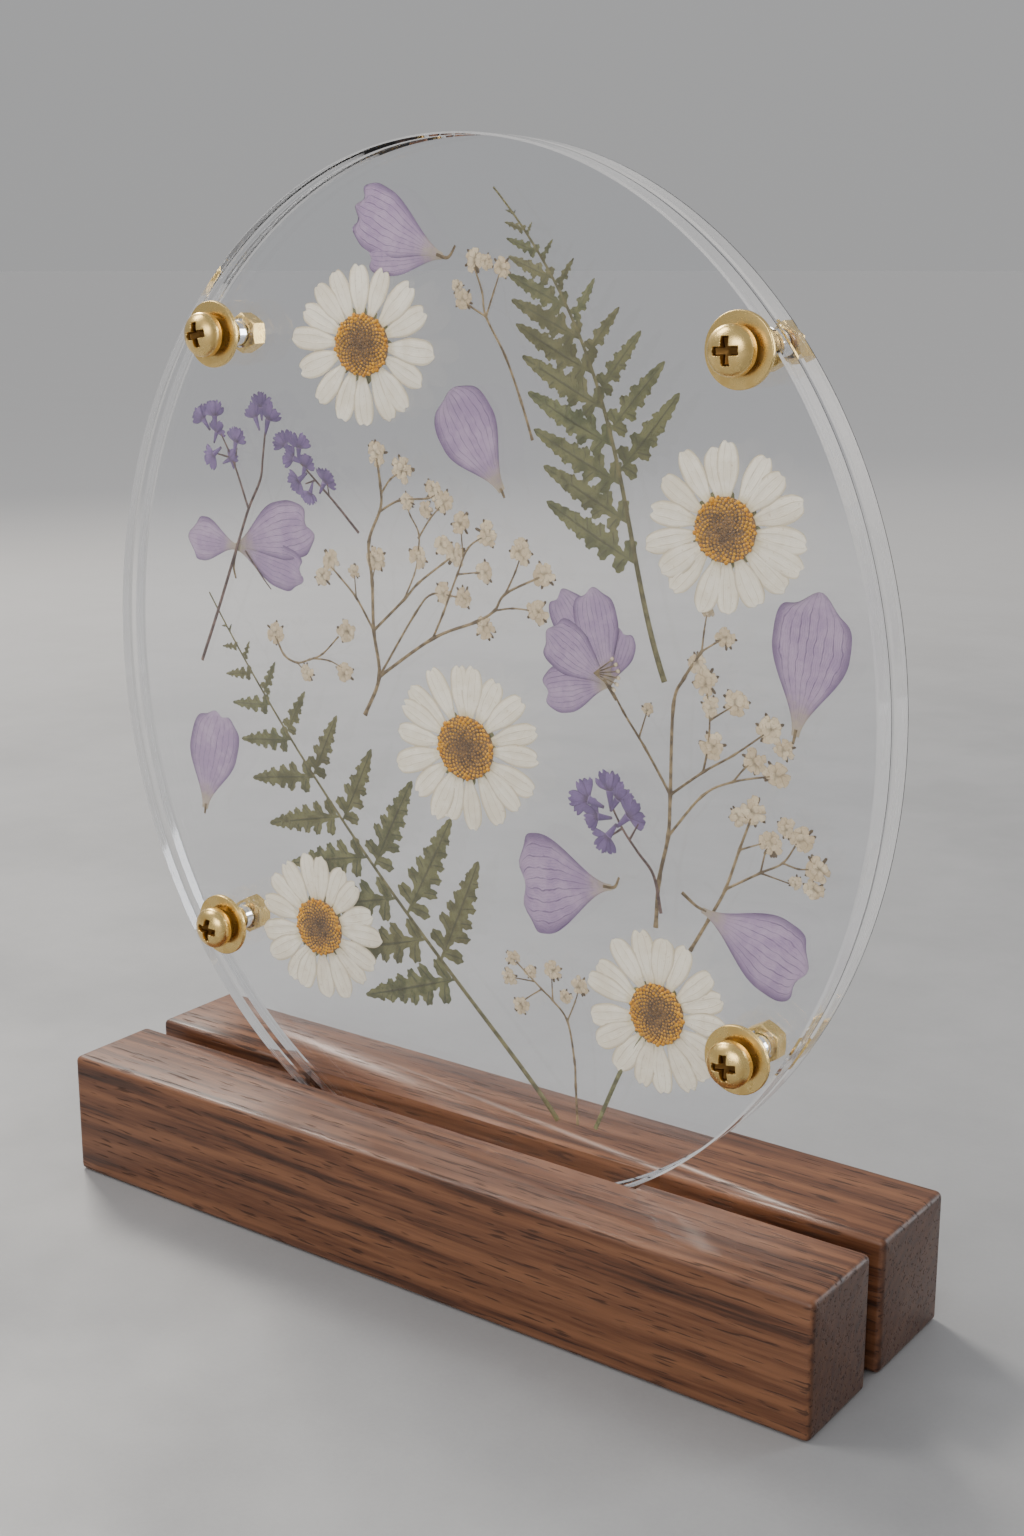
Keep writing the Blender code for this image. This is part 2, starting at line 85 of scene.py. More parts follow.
@dataclass
class Surface:
    """A closed skin: its points, its faces with UVs at their corners, and a tone for each point.

    The tone is a number that materials read, such as how deep in a recess a point lies.
    """

    points: Array
    quads: Array
    quad_uv: Array
    triangles: Array
    triangle_uv: Array
    tone: Array
    finish: int = 0
    quad_finish: Array | None = None

    def quad_finishes(self) -> Array:
        """The finish of each quad: the skin's own, unless the quads have theirs."""
        if self.quad_finish is None:
            return np.full(len(self.quads), self.finish)
        return self.quad_finish

    def volume(self) -> float:
        """Six times the volume that the faces enclose, negative if they face inwards."""
        halves = (self.quads[:, [0, 1, 2]], self.quads[:, [0, 2, 3]], self.triangles)
        a, b, c = np.moveaxis(self.points[np.concatenate(halves)], 1, 0)
        return float(np.einsum("ij,ij->", a - self.points[0], np.cross(b - a, c - a)))

    def facing_out(self) -> Surface:
        """The same skin with every face turned to point outwards."""
        if self.volume() < 0:
            self.quads = self.quads[:, ::-1]
            self.quad_uv = self.quad_uv[:, ::-1]
            self.triangles = self.triangles[:, ::-1]
            self.triangle_uv = self.triangle_uv[:, ::-1]
        return self


def skin(rings: Array, ends: Ends, tone: Array | float = 0.0, finish: int = 0,
         across: Array | None = None) -> Surface:
    """Joins rows of points into a closed skin, each row a ring that closes on itself.

    Args:
        rings: Points, shaped rows by columns by 3.
        ends: How the first and last rows are closed.
        tone: One tone, or one for each row and column.
        finish: Which of the piece's finishes the skin takes.
        across: The second UV coordinate of each column. Evenly spread if not given.

    Returns:
        The skin, with its faces pointing outwards.
    """
    rows, columns = rings.shape[:2]
    index = np.arange(rows * columns).reshape(rows, columns)
    if ends is Ends.LOOPED:
        index = np.vstack([index, index[:1]])
    right = np.roll(index, -1, axis=1)
    quads = np.stack([index[:-1], index[1:], right[1:], right[:-1]], axis=-1)
    along = np.broadcast_to(np.linspace(0, 1, len(index))[:, None], index.shape)
    if across is None:
        left_v = np.arange(columns) / columns
        right_v = left_v + 1 / columns
    else:
        left_v, right_v = across, np.roll(across, -1)
    left_v = np.broadcast_to(left_v, index.shape)
    right_v = np.broadcast_to(right_v, index.shape)
    corners = [(along[:-1], left_v[:-1]), (along[1:], left_v[1:]),
               (along[1:], right_v[1:]), (along[:-1], right_v[:-1])]
    quad_uv = np.stack([np.stack(c, axis=-1) for c in corners], axis=-2)
    points = rings.reshape(-1, 3)
    tones = np.broadcast_to(tone, (rows, columns)).reshape(-1)
    quads, quad_uv = quads.reshape(-1, 4), quad_uv.reshape(-1, 4, 2)
    triangles, triangle_uv = np.zeros((0, 3), int), np.zeros((0, 3, 2))
    first, last = index[0], index[-1]
    if ends is Ends.STRIPS:
        half = columns // 2
        j = np.arange(half - 1)
        caps = [np.stack([row[j + a], row[j + b], row[columns - 1 - j - b],
                          row[columns - 1 - j - a]], axis=-1)
                for row, a, b in ((first, 0, 1), (last, 1, 0))]
        v = np.stack([left_v[0][j], left_v[0][j + 1], left_v[0][j + 1], left_v[0][j]], axis=-1)
        cap_uv = [np.stack([np.full(v.shape, u), w], axis=-1)
                  for u, w in ((0.0, v), (1.0, v[:, [1, 0, 3, 2]]))]
        quads = np.concatenate([quads, *caps])
        quad_uv = np.concatenate([quad_uv, *cap_uv])
    if ends is Ends.FANS:
        middles = np.stack([rings[0].mean(axis=0), rings[-1].mean(axis=0)])
        hubs = (len(points), len(points) + 1)
        points = np.concatenate([points, middles])
        tones = np.concatenate([tones, [tones[0], tones[-1]]])
        triangles = np.concatenate([
            np.stack([first, np.roll(first, -1), np.full(columns, hubs[0])], axis=-1),
            np.stack([np.roll(last, -1), last, np.full(columns, hubs[1])], axis=-1)])
        u = np.repeat([0.0, 1.0], columns)[:, None, None]
        v = np.tile(np.stack([left_v[0], right_v[0], (left_v[0] + right_v[0]) / 2], -1), (2, 1))
        triangle_uv = np.concatenate([np.broadcast_to(u, v.shape + (1,)), v[..., None]], axis=-1)
    return Surface(points, quads, quad_uv, triangles, triangle_uv, tones, finish).facing_out()


def thin_sheet(front: Array, thickness: float | Array, tone: Array | float = 0.0,
               finish: int = 0) -> Surface:
    """A closed thin sheet: a front grid, and the same grid moved back by the thickness.

    Args:
        front: Points of the front, shaped rows by columns by 3.
        thickness: How far back the other side lies, in metres.
        tone: One tone, or one for each row and column of the front.
        finish: Which of the piece's finishes the sheet takes.

    Returns:
        The sheet, with the same UVs on both sides.
    """
    back = front.copy()
    back[..., 1] += thickness
    columns = front.shape[1]
    across = np.linspace(0, 1, columns)
    tones = np.broadcast_to(tone, front.shape[:2])
    return skin(np.concatenate([front, back[:, ::-1]], axis=1), Ends.STRIPS,
                np.concatenate([tones, tones[:, ::-1]], axis=1), finish,
                np.concatenate([across, across[::-1]]))


def stamped(template: Surface, centres: Array, scales: Array, tones: Array) -> Surface:
    """Many copies of one small skin, as one skin.

    Args:
        template: The small skin, about the origin.
        centres: Where the copies go, shaped copies by 3.
        scales: The size of each copy.
        tones: The tone of each copy.

    Returns:
        All the copies.
    """
    count, size = len(centres), len(template.points)
    points = template.points[None] * scales[:, None, None] + centres[:, None]
    shift = (np.arange(count) * size)[:, None, None]
    return Surface(points.reshape(-1, 3),
                   (template.quads[None] + shift).reshape(-1, 4),
                   np.tile(template.quad_uv, (count, 1, 1)),
                   (template.triangles[None] + shift).reshape(-1, 3),
                   np.tile(template.triangle_uv, (count, 1, 1)),
                   np.repeat(tones, size), template.finish)


def make_piece(name: str, parts: Sequence[Surface], finishes: Sequence[Finish],
               replaces: Iterable[str] = (),
               sharp_degrees: float = 40.0) -> bpy.types.Object:
    """Puts skins into one mesh object that rides on the frame.

    Args:
        name: The piece's name.
        parts: Its skins.
        finishes: Its finishes, in the order that the skins number them.
        replaces: CAD nodes that the piece stands for.
        sharp_degrees: Edges that bend more than this stay crisp.

    Returns:
        The object, at the origin with its place in its mesh.
    """
    starts = np.cumsum([0] + [len(part.points) for part in parts])
    quads = np.concatenate([part.quads + start for part, start in zip(parts, starts)])
    triangles = np.concatenate([part.triangles + start for part, start in zip(parts, starts)])
    uvs = np.concatenate([np.concatenate([p.quad_uv.reshape(-1, 2) for p in parts]),
                          np.concatenate([p.triangle_uv.reshape(-1, 2) for p in parts])])
    indices = np.concatenate([part.quad_finishes() for part in parts]
                             + [np.full(len(part.triangles), part.finish) for part in parts])
    loops = np.concatenate([quads.ravel(), triangles.ravel()]).astype(np.int32)
    loop_starts = np.concatenate([np.arange(len(quads)) * 4,
                                  len(quads) * 4 + np.arange(len(triangles)) * 3])
    mesh = bpy.data.meshes.new(name)
    points = np.concatenate([part.points for part in parts])
    mesh.vertices.add(len(points))
    mesh.vertices.foreach_set("co", points.astype(np.float32).ravel())
    mesh.loops.add(len(loops))
    mesh.loops.foreach_set("vertex_index", loops)
    mesh.polygons.add(len(loop_starts))
    mesh.polygons.foreach_set("loop_start", loop_starts.astype(np.int32))
    mesh.polygons.foreach_set("material_index", indices.astype(np.int32))
    mesh.polygons.foreach_set("use_smooth", np.ones(len(loop_starts), bool))
    mesh.uv_layers.new(name=UV_NAME).data.foreach_set("uv", uvs.astype(np.float32).ravel())
    tone = mesh.attributes.new(TONE_NAME, "FLOAT", "POINT")
    tone.data.foreach_set("value", np.concatenate([p.tone for p in parts]).astype(np.float32))
    mesh.update(calc_edges=True)
    mesh.validate()
    mesh.set_sharp_from_angle(angle=math.radians(sharp_degrees))
    for finish in finishes:
        mesh.materials.append(finish.material())
    piece = bpy.data.objects.new(name, mesh)
    bpy.context.scene.collection.objects.link(piece)
    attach(piece, "root")
    replaced = list(replaces)
    if replaced:
        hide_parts(*replaced)
    LOG.info("%s: %d points, %d faces", name, len(points), len(loop_starts))
    return piece


# ------------------------------------------------------------------------------ shader nodes

Socket = bpy.types.NodeSocket


class NodeBench:
    """Places nodes in one tree and wires them."""

    def __init__(self, tree: bpy.types.NodeTree) -> None:
        """Keeps the tree that nodes are added to.

        Args:
            tree: A material's or a group's tree.
        """
        self.tree = tree

    def add(self, kind: str, values: dict[str | int, object] | None = None,
            **settings: object) -> bpy.types.Node:
        """Adds a node.

        Args:
            kind: The node's type, without its ShaderNode prefix.
            values: Its inputs, by name or number: a socket to link, or a value.
            settings: Its own properties.

        Returns:
            The node.
        """
        node = self.tree.nodes.new(f"ShaderNode{kind}")
        for key, value in settings.items():
            setattr(node, key, value)
        for key, value in (values or {}).items():
            self.feed(node.inputs[key], value)
        return node

    def feed(self, target: Socket, value: object) -> None:
        """Links a socket to an input, or sets the input's value.

        Args:
            target: The input.
            value: A socket, a number or a tuple. A colour may leave out its alpha.
        """
        if isinstance(value, bpy.types.NodeSocket):
            self.tree.links.new(value, target)
        elif target.type == "RGBA" and len(value) == 3:
            target.default_value = (*value, 1.0)
        else:
            target.default_value = value

    def math(self, operation: str, a: object, b: object = 0.0) -> Socket:
        """The result of one sum on two numbers."""
        return self.add("Math", {0: a, 1: b}, operation=operation).outputs[0]

    def rescale(self, value: object, low: float, high: float, to_low: float = 0.0,
                to_high: float = 1.0) -> Socket:
        """A number carried smoothly from one range to another, held at its ends."""
        return self.add("MapRange", {"Value": value, "From Min": low, "From Max": high,
                                     "To Min": to_low, "To Max": to_high},
                        interpolation_type="SMOOTHSTEP").outputs[0]

    def blend(self, share: object, first: object, second: object,
              mode: str = "MIX") -> Socket:
        """Two colours mixed by a share."""
        node = self.add("Mix", data_type="RGBA", blend_type=mode)
        for key, value in ((0, share), (6, first), (7, second)):
            self.feed(node.inputs[key], value)
        return node.outputs[2]

    def ramp(self, share: object, stops: Sequence[tuple[float, Colour]]) -> Socket:
        """A colour read off a ramp with the given stops."""
        node = self.add("ValToRGB", {0: share})
        elements = node.color_ramp.elements
        while len(elements) < len(stops):
            elements.new(0.5)
        for element, (position, colour) in zip(elements, stops):
            element.position = position
            element.color = (*colour, 1.0)
        return node.outputs[0]

    def noise(self, vector: object, scale: float, detail: float = 3.0,
              roughness: float = 0.55, distortion: float = 0.0) -> Socket:
        """Fractal noise from 0 to 1 at a place."""
        return self.add("TexNoise", {"Vector": vector, "Scale": scale, "Detail": detail,
                                     "Roughness": roughness,
                                     "Distortion": distortion}).outputs["Fac"]

    def stretched(self, vector: object, scale: tuple[float, float, float],
                  turn: tuple[float, float, float] = (0.0, 0.0, 0.0)) -> Socket:
        """A place with each axis scaled, so that a pattern runs long one way."""
        return self.add("Mapping", {"Vector": vector, "Scale": scale,
                                    "Rotation": turn}).outputs[0]

    def group(self, tree: bpy.types.NodeTree, values: dict[str, object]) -> bpy.types.Node:
        """Places a shared group with this material's own values."""
        node = self.add("Group", node_tree=tree)
        for key, value in values.items():
            self.feed(node.inputs[key], value)
        return node

    def here(self) -> Socket:
        """The place in the object's own metres."""
        return self.add("TexCoord").outputs["Object"]

    def blade(self) -> tuple[Socket, Socket]:
        """The piece's own UV map, as how far along and how far across."""
        split = self.add("SeparateXYZ", {0: self.add("UVMap", uv_map=UV_NAME).outputs[0]})
        return split.outputs[0], split.outputs[1]

    def tone(self) -> Socket:
        """The tone that the mesh holds at each point."""
        return self.add("Attribute", attribute_name=TONE_NAME).outputs["Fac"]

    def bump(self, height: Socket, distance: float, strength: float = 1.0) -> Socket:
        """A normal bent by a height, with the relief's depth in metres."""
        return self.add("Bump", {"Height": height, "Distance": distance,
                                 "Strength": strength}).outputs[0]


class SharedGroups:
    """Node groups that several finishes use, each built once."""

    _built: dict[str, bpy.types.NodeTree] = {}

    @classmethod
    def _start(cls, name: str, inputs: dict[str, str],
               outputs: Iterable[str]) -> tuple[NodeBench, bpy.types.Node, bpy.types.Node]:
        """Starts a group with its sockets.

        Args:
            name: The group's name.
            inputs: Socket types by input name.
            outputs: Names of number outputs.

        Returns:
            A bench on the new tree, its input node and its output node.
        """
        tree = bpy.data.node_groups.new(name, "ShaderNodeTree")
        for key, kind in inputs.items():
            tree.interface.new_socket(key, in_out="INPUT", socket_type=f"NodeSocket{kind}")
        for key in outputs:
            tree.interface.new_socket(key, in_out="OUTPUT", socket_type="NodeSocketFloat")
        cls._built[name] = tree
        return (NodeBench(tree), tree.nodes.new("NodeGroupInput"),
                tree.nodes.new("NodeGroupOutput"))

    @classmethod
    def mottle(cls) -> bpy.types.NodeTree:
        """Dried-plant blotches: large soft patches, and small dark flecks as a second mask."""
        if "dried mottle" in cls._built:
            return cls._built["dried mottle"]
        bench, given, out = cls._start(
            "dried mottle", {"Place": "Vector", "Patch Scale": "Float", "Fleck Scale": "Float"},
            ("Patches", "Flecks"))
        patches = bench.add("TexNoise", {"Vector": given.outputs[0], "Scale": given.outputs[1],
                                         "Detail": 3.0, "Roughness": 0.6})
        flecks = bench.add("TexNoise", {"Vector": given.outputs[0], "Scale": given.outputs[2],
                                        "Detail": 2.0, "Roughness": 0.5})
        bench.feed(out.inputs[0], bench.rescale(patches.outputs[0], 0.35, 0.65))
        bench.feed(out.inputs[1], bench.rescale(flecks.outputs[0], 0.66, 0.74))
        return cls._built["dried mottle"]

    @classmethod
    def veins(cls) -> bpy.types.NodeTree:
        """Veins that run along a blade and fan out with its width.

        The line is where a sine of the place across the blade, shaken a little by noise, comes
        near zero.
        """
        if "blade veins" in cls._built:
            return cls._built["blade veins"]
        bench, given, out = cls._start(
            "blade veins", {"Place": "Vector", "Along": "Float", "Across": "Float",
                            "Count": "Float", "Waver": "Float", "Width": "Float"}, ("Lines",))
        shake = bench.noise(given.outputs["Place"], 260.0, 2.0)
        shaken = bench.math("MULTIPLY", bench.math("SUBTRACT", shake, 0.5),
                            given.outputs["Waver"])
        turns = bench.math("MULTIPLY", bench.math("ADD", given.outputs["Across"], shaken),
                           bench.math("MULTIPLY", given.outputs["Count"], math.pi))
        wave = bench.math("ABSOLUTE", bench.math("SINE", turns))
        line = bench.math("SUBTRACT", 1.0, bench.math("DIVIDE", wave, given.outputs["Width"]))
        patchy = bench.rescale(bench.noise(given.outputs["Place"], 600.0, 2.0), 0.25, 0.7, 0.35)
        bench.feed(out.inputs[0],
                   bench.math("MULTIPLY", bench.math("MAXIMUM", line, 0.0), patchy))
        return cls._built["blade veins"]

    @classmethod
    def fibres(cls) -> bpy.types.NodeTree:
        """Fine parallel streaks and short pores, for wood grain and for brushed metal."""
        if "fibres" in cls._built:
            return cls._built["fibres"]
        bench, given, out = cls._start(
            "fibres", {"Place": "Vector", "Streak Scale": "Float", "Pore Scale": "Float"},
            ("Streaks", "Pores"))
        streaks = bench.add("TexNoise", {"Vector": given.outputs[0], "Scale": given.outputs[1],
                                         "Detail": 5.0, "Roughness": 0.65})
        pores = bench.add("TexNoise", {"Vector": given.outputs[0], "Scale": given.outputs[2],
                                       "Detail": 1.0, "Roughness": 0.4})
        bench.feed(out.inputs[0], streaks.outputs[0])
        bench.feed(out.inputs[1], bench.rescale(pores.outputs[0], 0.58, 0.70))
        return cls._built["fibres"]


# ------------------------------------------------------------------------------ finishes

@dataclass(frozen=True)
class Finish:
    """A surface finish that makes its material once."""

    title: str

    def material(self) -> bpy.types.Material:
        """The finish's material, made the first time that it is asked for."""
        found = bpy.data.materials.get(self.title)
        if found is not None:
            return found
        material = bpy.data.materials.new(self.title)
        material.use_nodes = True
        self.dress(NodeBench(material.node_tree), material.node_tree.nodes["Principled BSDF"])
        return material

    def dress(self, bench: NodeBench, shader: bpy.types.Node) -> None:
        """Wires the material's nodes into its shader.

        Args:
            bench: A bench on the material's tree.
            shader: Its Principled shader.
        """
        raise NotImplementedError


@dataclass(frozen=True)
class WalnutFinish(Finish):
    """Oiled walnut with growth rings, dark streaks along X and short open pores."""

    pale: Colour = (0.250, 0.105, 0.046)
    middle: Colour = (0.128, 0.046, 0.019)
    dark: Colour = (0.032, 0.011, 0.005)
    heart: tuple[float, float, float] = (0.0, 0.055, -0.035)
    ring_width: float = 0.0034
    gloss: float = 0.36

    def dress(self, bench: NodeBench, shader: bpy.types.Node) -> None:
        """Rings about a heart line below the board, streaks and pores stretched along X.

        Args:
            bench: A bench on the material's tree.
            shader: Its Principled shader.
        """
        place = bench.here()
        shifted = bench.add("VectorMath", {0: place, 1: self.heart}, operation="SUBTRACT")
        slow = bench.noise(bench.stretched(place, (5.0, 26.0, 26.0)), 1.0, 2.0)
        parts = bench.add("SeparateXYZ", {0: shifted.outputs[0]})
        reach = bench.math("SQRT", bench.math(
            "ADD", bench.math("POWER", bench.math("ABSOLUTE", parts.outputs[1]), 2.0),
            bench.math("POWER", bench.math("ABSOLUTE", parts.outputs[2]), 2.0)))
        rings = bench.math("SINE", bench.math(
            "ADD", bench.math("MULTIPLY", reach, 2 * math.pi / self.ring_width),
            bench.math("MULTIPLY", slow, 26.0)))
        lengthwise = bench.stretched(place, (20.0, 620.0, 620.0))
        fibres = bench.group(SharedGroups.fibres(), {"Place": lengthwise, "Streak Scale": 1.0,
                                                     "Pore Scale": 6.0})
        wide = bench.noise(bench.stretched(place, (4.0, 95.0, 95.0)), 1.0, 4.0, 0.6)
        shade = bench.math("ADD", bench.math("MULTIPLY", fibres.outputs["Streaks"], 0.62),
                           bench.math("ADD", bench.math("MULTIPLY", wide, 0.34),
                                      bench.math("MULTIPLY", rings, 0.045)))
        colour = bench.ramp(bench.rescale(shade, 0.28, 0.68),
                            [(0.0, self.dark), (0.34, self.middle), (1.0, self.pale)])
        pores = bench.group(SharedGroups.fibres(), {
            "Place": bench.stretched(place, (120.0, 1500.0, 1500.0)), "Streak Scale": 2.0,
            "Pore Scale": 1.0})
        pored = bench.blend(bench.math("MULTIPLY", pores.outputs["Pores"], 0.75), colour,
                            self.dark)
        # The ends, whose normals point along X, are mixed towards the dark colour: the oiled end
        # grain's own darkness, deepened with painted shade.
        facing = bench.add("SeparateXYZ", {0: bench.add("TexCoord").outputs["Normal"]})
        end_grain_and_shade = bench.rescale(bench.math("ABSOLUTE", facing.outputs[0]), 0.5, 0.95, 0.0, 0.62)
        bench.feed(shader.inputs["Base Color"], bench.blend(end_grain_and_shade, pored, self.dark))
        bench.feed(shader.inputs["Roughness"], bench.math(
            "ADD", self.gloss, bench.math("ADD", bench.math(
                "MULTIPLY", fibres.outputs["Streaks"], 0.14),
                bench.math("MULTIPLY", pores.outputs["Pores"], 0.3))))
        relief = bench.math("SUBTRACT", bench.math("MULTIPLY", fibres.outputs["Streaks"], 0.35),
                            pores.outputs["Pores"])
        bench.feed(shader.inputs["Normal"], bench.bump(relief, 0.00008, 0.6))
        shader.inputs["Coat Weight"].default_value = 0.08
        shader.inputs["Coat Roughness"].default_value = 0.22


@dataclass(frozen=True)
class AcrylicFinish(Finish):
    """Clear cast acrylic, with faint wiping marks that only touch its roughness."""

    refraction: float = 1.49
    gloss_coat: float = 0.0
    smear: float = 0.012
    streaks: float = 0.0

    def dress(self, bench: NodeBench, shader: bpy.types.Node) -> None:
        """Plain transmission and refraction; its roughness follows wiped arcs and edge streaks.

        Args:
            bench: A bench on the material's tree.
            shader: Its Principled shader.
        """
        place = bench.here()
        swirl = bench.noise(bench.stretched(place, (14.0, 14.0, 14.0)), 1.0, 3.0, 0.6, 2.4)
        arcs = bench.math("ABSOLUTE", bench.math("SINE", bench.math("MULTIPLY", swirl, 60.0)))
        thin = bench.rescale(arcs, 0.0, 0.10, 1.0, 0.0)
        patch = bench.rescale(bench.noise(place, 22.0, 2.0), 0.5, 0.7)
        marks = bench.math("MULTIPLY", bench.math("MULTIPLY", thin, patch), self.smear)
        lines = bench.rescale(bench.noise(bench.stretched(place, (22.0, 900.0, 22.0)), 1.0, 2.0),
                              0.52, 0.62, 0.0, self.streaks)
        bench.feed(shader.inputs["Roughness"], bench.math("ADD", marks, lines))
        shader.inputs["Base Color"].default_value = (0.985, 0.99, 1.0, 1.0)
        shader.inputs["Transmission Weight"].default_value = 1.0
        shader.inputs["IOR"].default_value = self.refraction
        shader.inputs["Coat Weight"].default_value = self.gloss_coat
        shader.inputs["Coat IOR"].default_value = 1.49
        output = bench.tree.nodes["Material Output"]
        light_path = bench.add("LightPath")
        passing = bench.add("BsdfTransparent", {"Color": (0.93, 0.94, 0.95)})
        mixed = bench.add("MixShader", {0: light_path.outputs["Is Shadow Ray"],
                                        1: shader.outputs[0], 2: passing.outputs[0]})
        bench.feed(output.inputs["Surface"], mixed.outputs[0])


@dataclass(frozen=True)
class BrassFinish(Finish):
    """Satin brass: turned lines round the axis, slight tarnish, and painted shade that darkens its
    recesses.
    """

    colour: Colour = (0.88, 0.63, 0.24)
    tarnish: Colour = (0.66, 0.42, 0.12)
    recess_shade: Colour = (0.16, 0.085, 0.025)
    gloss: float = 0.20
    line_scale: float = 1.0

    def dress(self, bench: NodeBench, shader: bpy.types.Node) -> None:
        """Lines follow the UV map's rings, tarnish follows noise, and painted shade follows the tone,
        which marks recesses.

        Args:
            bench: A bench on the material's tree.
            shader: Its Principled shader.
        """
        place = bench.here()
        along, across = bench.blade()
        ringed = bench.add("CombineXYZ", {0: bench.math("MULTIPLY", along, 90 * self.line_scale),
                                          1: bench.math("MULTIPLY", across, 3.0)}).outputs[0]
        lines = bench.group(SharedGroups.fibres(), {"Place": ringed, "Streak Scale": 1.0,
                                                    "Pore Scale": 2.0})
        cloudy = bench.rescale(bench.noise(place, 420.0, 3.0), 0.42, 0.72)
        worn = bench.blend(bench.math("MULTIPLY", cloudy, 0.45), self.colour, self.tarnish)
        # The tone marks the cross recess, the neck and the thread grooves, and these are darkened
        # with painted shade.
        deep = bench.rescale(bench.tone(), 0.1, 0.95)
        bench.feed(shader.inputs["Base Color"], bench.blend(deep, worn, self.recess_shade))
        shader.inputs["Metallic"].default_value = 1.0
        bench.feed(shader.inputs["Roughness"], bench.math(
            "ADD", self.gloss, bench.math("ADD", bench.math(
                "MULTIPLY", lines.outputs["Streaks"], 0.12),
                bench.math("MULTIPLY", bench.math("ADD", cloudy, deep), 0.10))))
        bench.feed(shader.inputs["Normal"],
                   bench.bump(lines.outputs["Streaks"], 0.00004, 0.35))


@dataclass(frozen=True)
class PetalFinish(Finish):
    """A pressed petal: veined along the blade, blotched, and browned at its tip and root."""

    pale: Colour = (0.88, 0.82, 0.68)
    deep: Colour = (0.70, 0.61, 0.45)
    vein: Colour = (0.46, 0.36, 0.20)
    tip: Colour = (0.42, 0.27, 0.12)
    root: Colour = (0.55, 0.45, 0.22)
    vein_count: float = 3.0
    vein_strength: float = 0.6
    tip_start: float = 0.90
    root_end: float = 0.18
    relief: float = 0.00012
    edge_strength: float = 0.7
    crumple: float = 1.0
    crumple_scale: float = 420.0

    def dress(self, bench: NodeBench, shader: bpy.types.Node) -> None:
        """Blotches between two colours, veins by UV, and browning near both ends of the blade.

        Args:
            bench: A bench on the material's tree.
            shader: Its Principled shader.
        """
        place = bench.here()
        along, across = bench.blade()
        mottle = bench.group(SharedGroups.mottle(), {"Place": place, "Patch Scale": 230.0,
                                                     "Fleck Scale": 1500.0})
        main = bench.group(SharedGroups.veins(), {
            "Place": place, "Along": along, "Across": across, "Count": self.vein_count,
            "Waver": 0.10, "Width": 0.30}).outputs[0]
        fine = bench.group(SharedGroups.veins(), {
            "Place": place, "Along": along, "Across": across, "Count": self.vein_count * 4,
            "Waver": 0.12, "Width": 0.5}).outputs[0]
        lines = bench.math("MAXIMUM", main, bench.math("MULTIPLY", fine, 0.45))
        body = bench.blend(bench.math("MULTIPLY", mottle.outputs["Patches"], 0.5), self.pale,
                           self.deep)
        body = bench.blend(bench.math("MULTIPLY", bench.tone(), 0.8), body, self.deep)
        off_middle = bench.math("ABSOLUTE", bench.math("SUBTRACT", across, 0.5))
        edged = bench.blend(bench.rescale(off_middle, 0.36, 0.5, 0.0, self.edge_strength), body,
                            self.vein)
        veined = bench.blend(bench.math("MULTIPLY", lines, self.vein_strength), edged, self.vein)
        ragged = bench.math("ADD", along, bench.math(
            "MULTIPLY", bench.math("SUBTRACT", bench.noise(place, 700.0, 2.0), 0.5), 0.16))
        tipped = bench.blend(bench.rescale(ragged, self.tip_start, 1.04), veined, self.tip)
        rooted = bench.blend(bench.rescale(ragged, 0.0, self.root_end, 0.85, 0.0), tipped,
                             self.root)
        flecked = bench.blend(bench.math("MULTIPLY", mottle.outputs["Flecks"], 0.35), rooted,
                              self.tip)
        bench.feed(shader.inputs["Base Color"], flecked)
        bench.feed(shader.inputs["Roughness"], bench.rescale(mottle.outputs["Patches"], 0.0, 1.0,
                                                             0.55, 0.75))
        crumple = bench.noise(place, self.crumple_scale, 3.0, 0.6, 0.8)
        relief = bench.math("ADD", bench.math("MULTIPLY", lines, 0.5),
                            bench.math("MULTIPLY", crumple, self.crumple))
        bench.feed(shader.inputs["Normal"], bench.bump(relief, self.relief, 0.9))
        shader.inputs["Sheen Weight"].default_value = 0.15
        shader.inputs["Sheen Roughness"].default_value = 0.4


@dataclass(frozen=True)
class BeadFinish(Finish):
    """The florets of a daisy's eye: brown in the middle, gold towards the rim."""

    stops: tuple[tuple[float, Colour], ...] = (
        (0.0, (0.085, 0.042, 0.012)), (0.30, (0.27, 0.145, 0.045)), (0.60, (0.46, 0.235, 0.035)),
        (0.84, (0.80, 0.400, 0.016)), (1.0, (0.62, 0.270, 0.012)))

    def dress(self, bench: NodeBench, shader: bpy.types.Node) -> None:
        """The tone runs from the middle to the rim, and fine noise breaks the colour up.

        Args:
            bench: A bench on the material's tree.
            shader: Its Principled shader.
        """
        place = bench.here()
        mottle = bench.group(SharedGroups.mottle(), {"Place": place, "Patch Scale": 900.0,
                                                     "Fleck Scale": 2600.0})
        shaken = bench.math("ADD", bench.tone(), bench.rescale(mottle.outputs["Patches"], 0.0,
                                                               1.0, -0.10, 0.10))
        colour = bench.ramp(shaken, self.stops)
        bench.feed(shader.inputs["Base Color"],
                   bench.blend(bench.math("MULTIPLY", mottle.outputs["Flecks"], 0.6), colour,
                               (0.09, 0.045, 0.012)))
        bench.feed(shader.inputs["Roughness"],
                   bench.rescale(mottle.outputs["Patches"], 0.0, 1.0, 0.55, 0.8))
        bench.feed(shader.inputs["Normal"],
                   bench.bump(mottle.outputs["Patches"], 0.00005, 0.5))


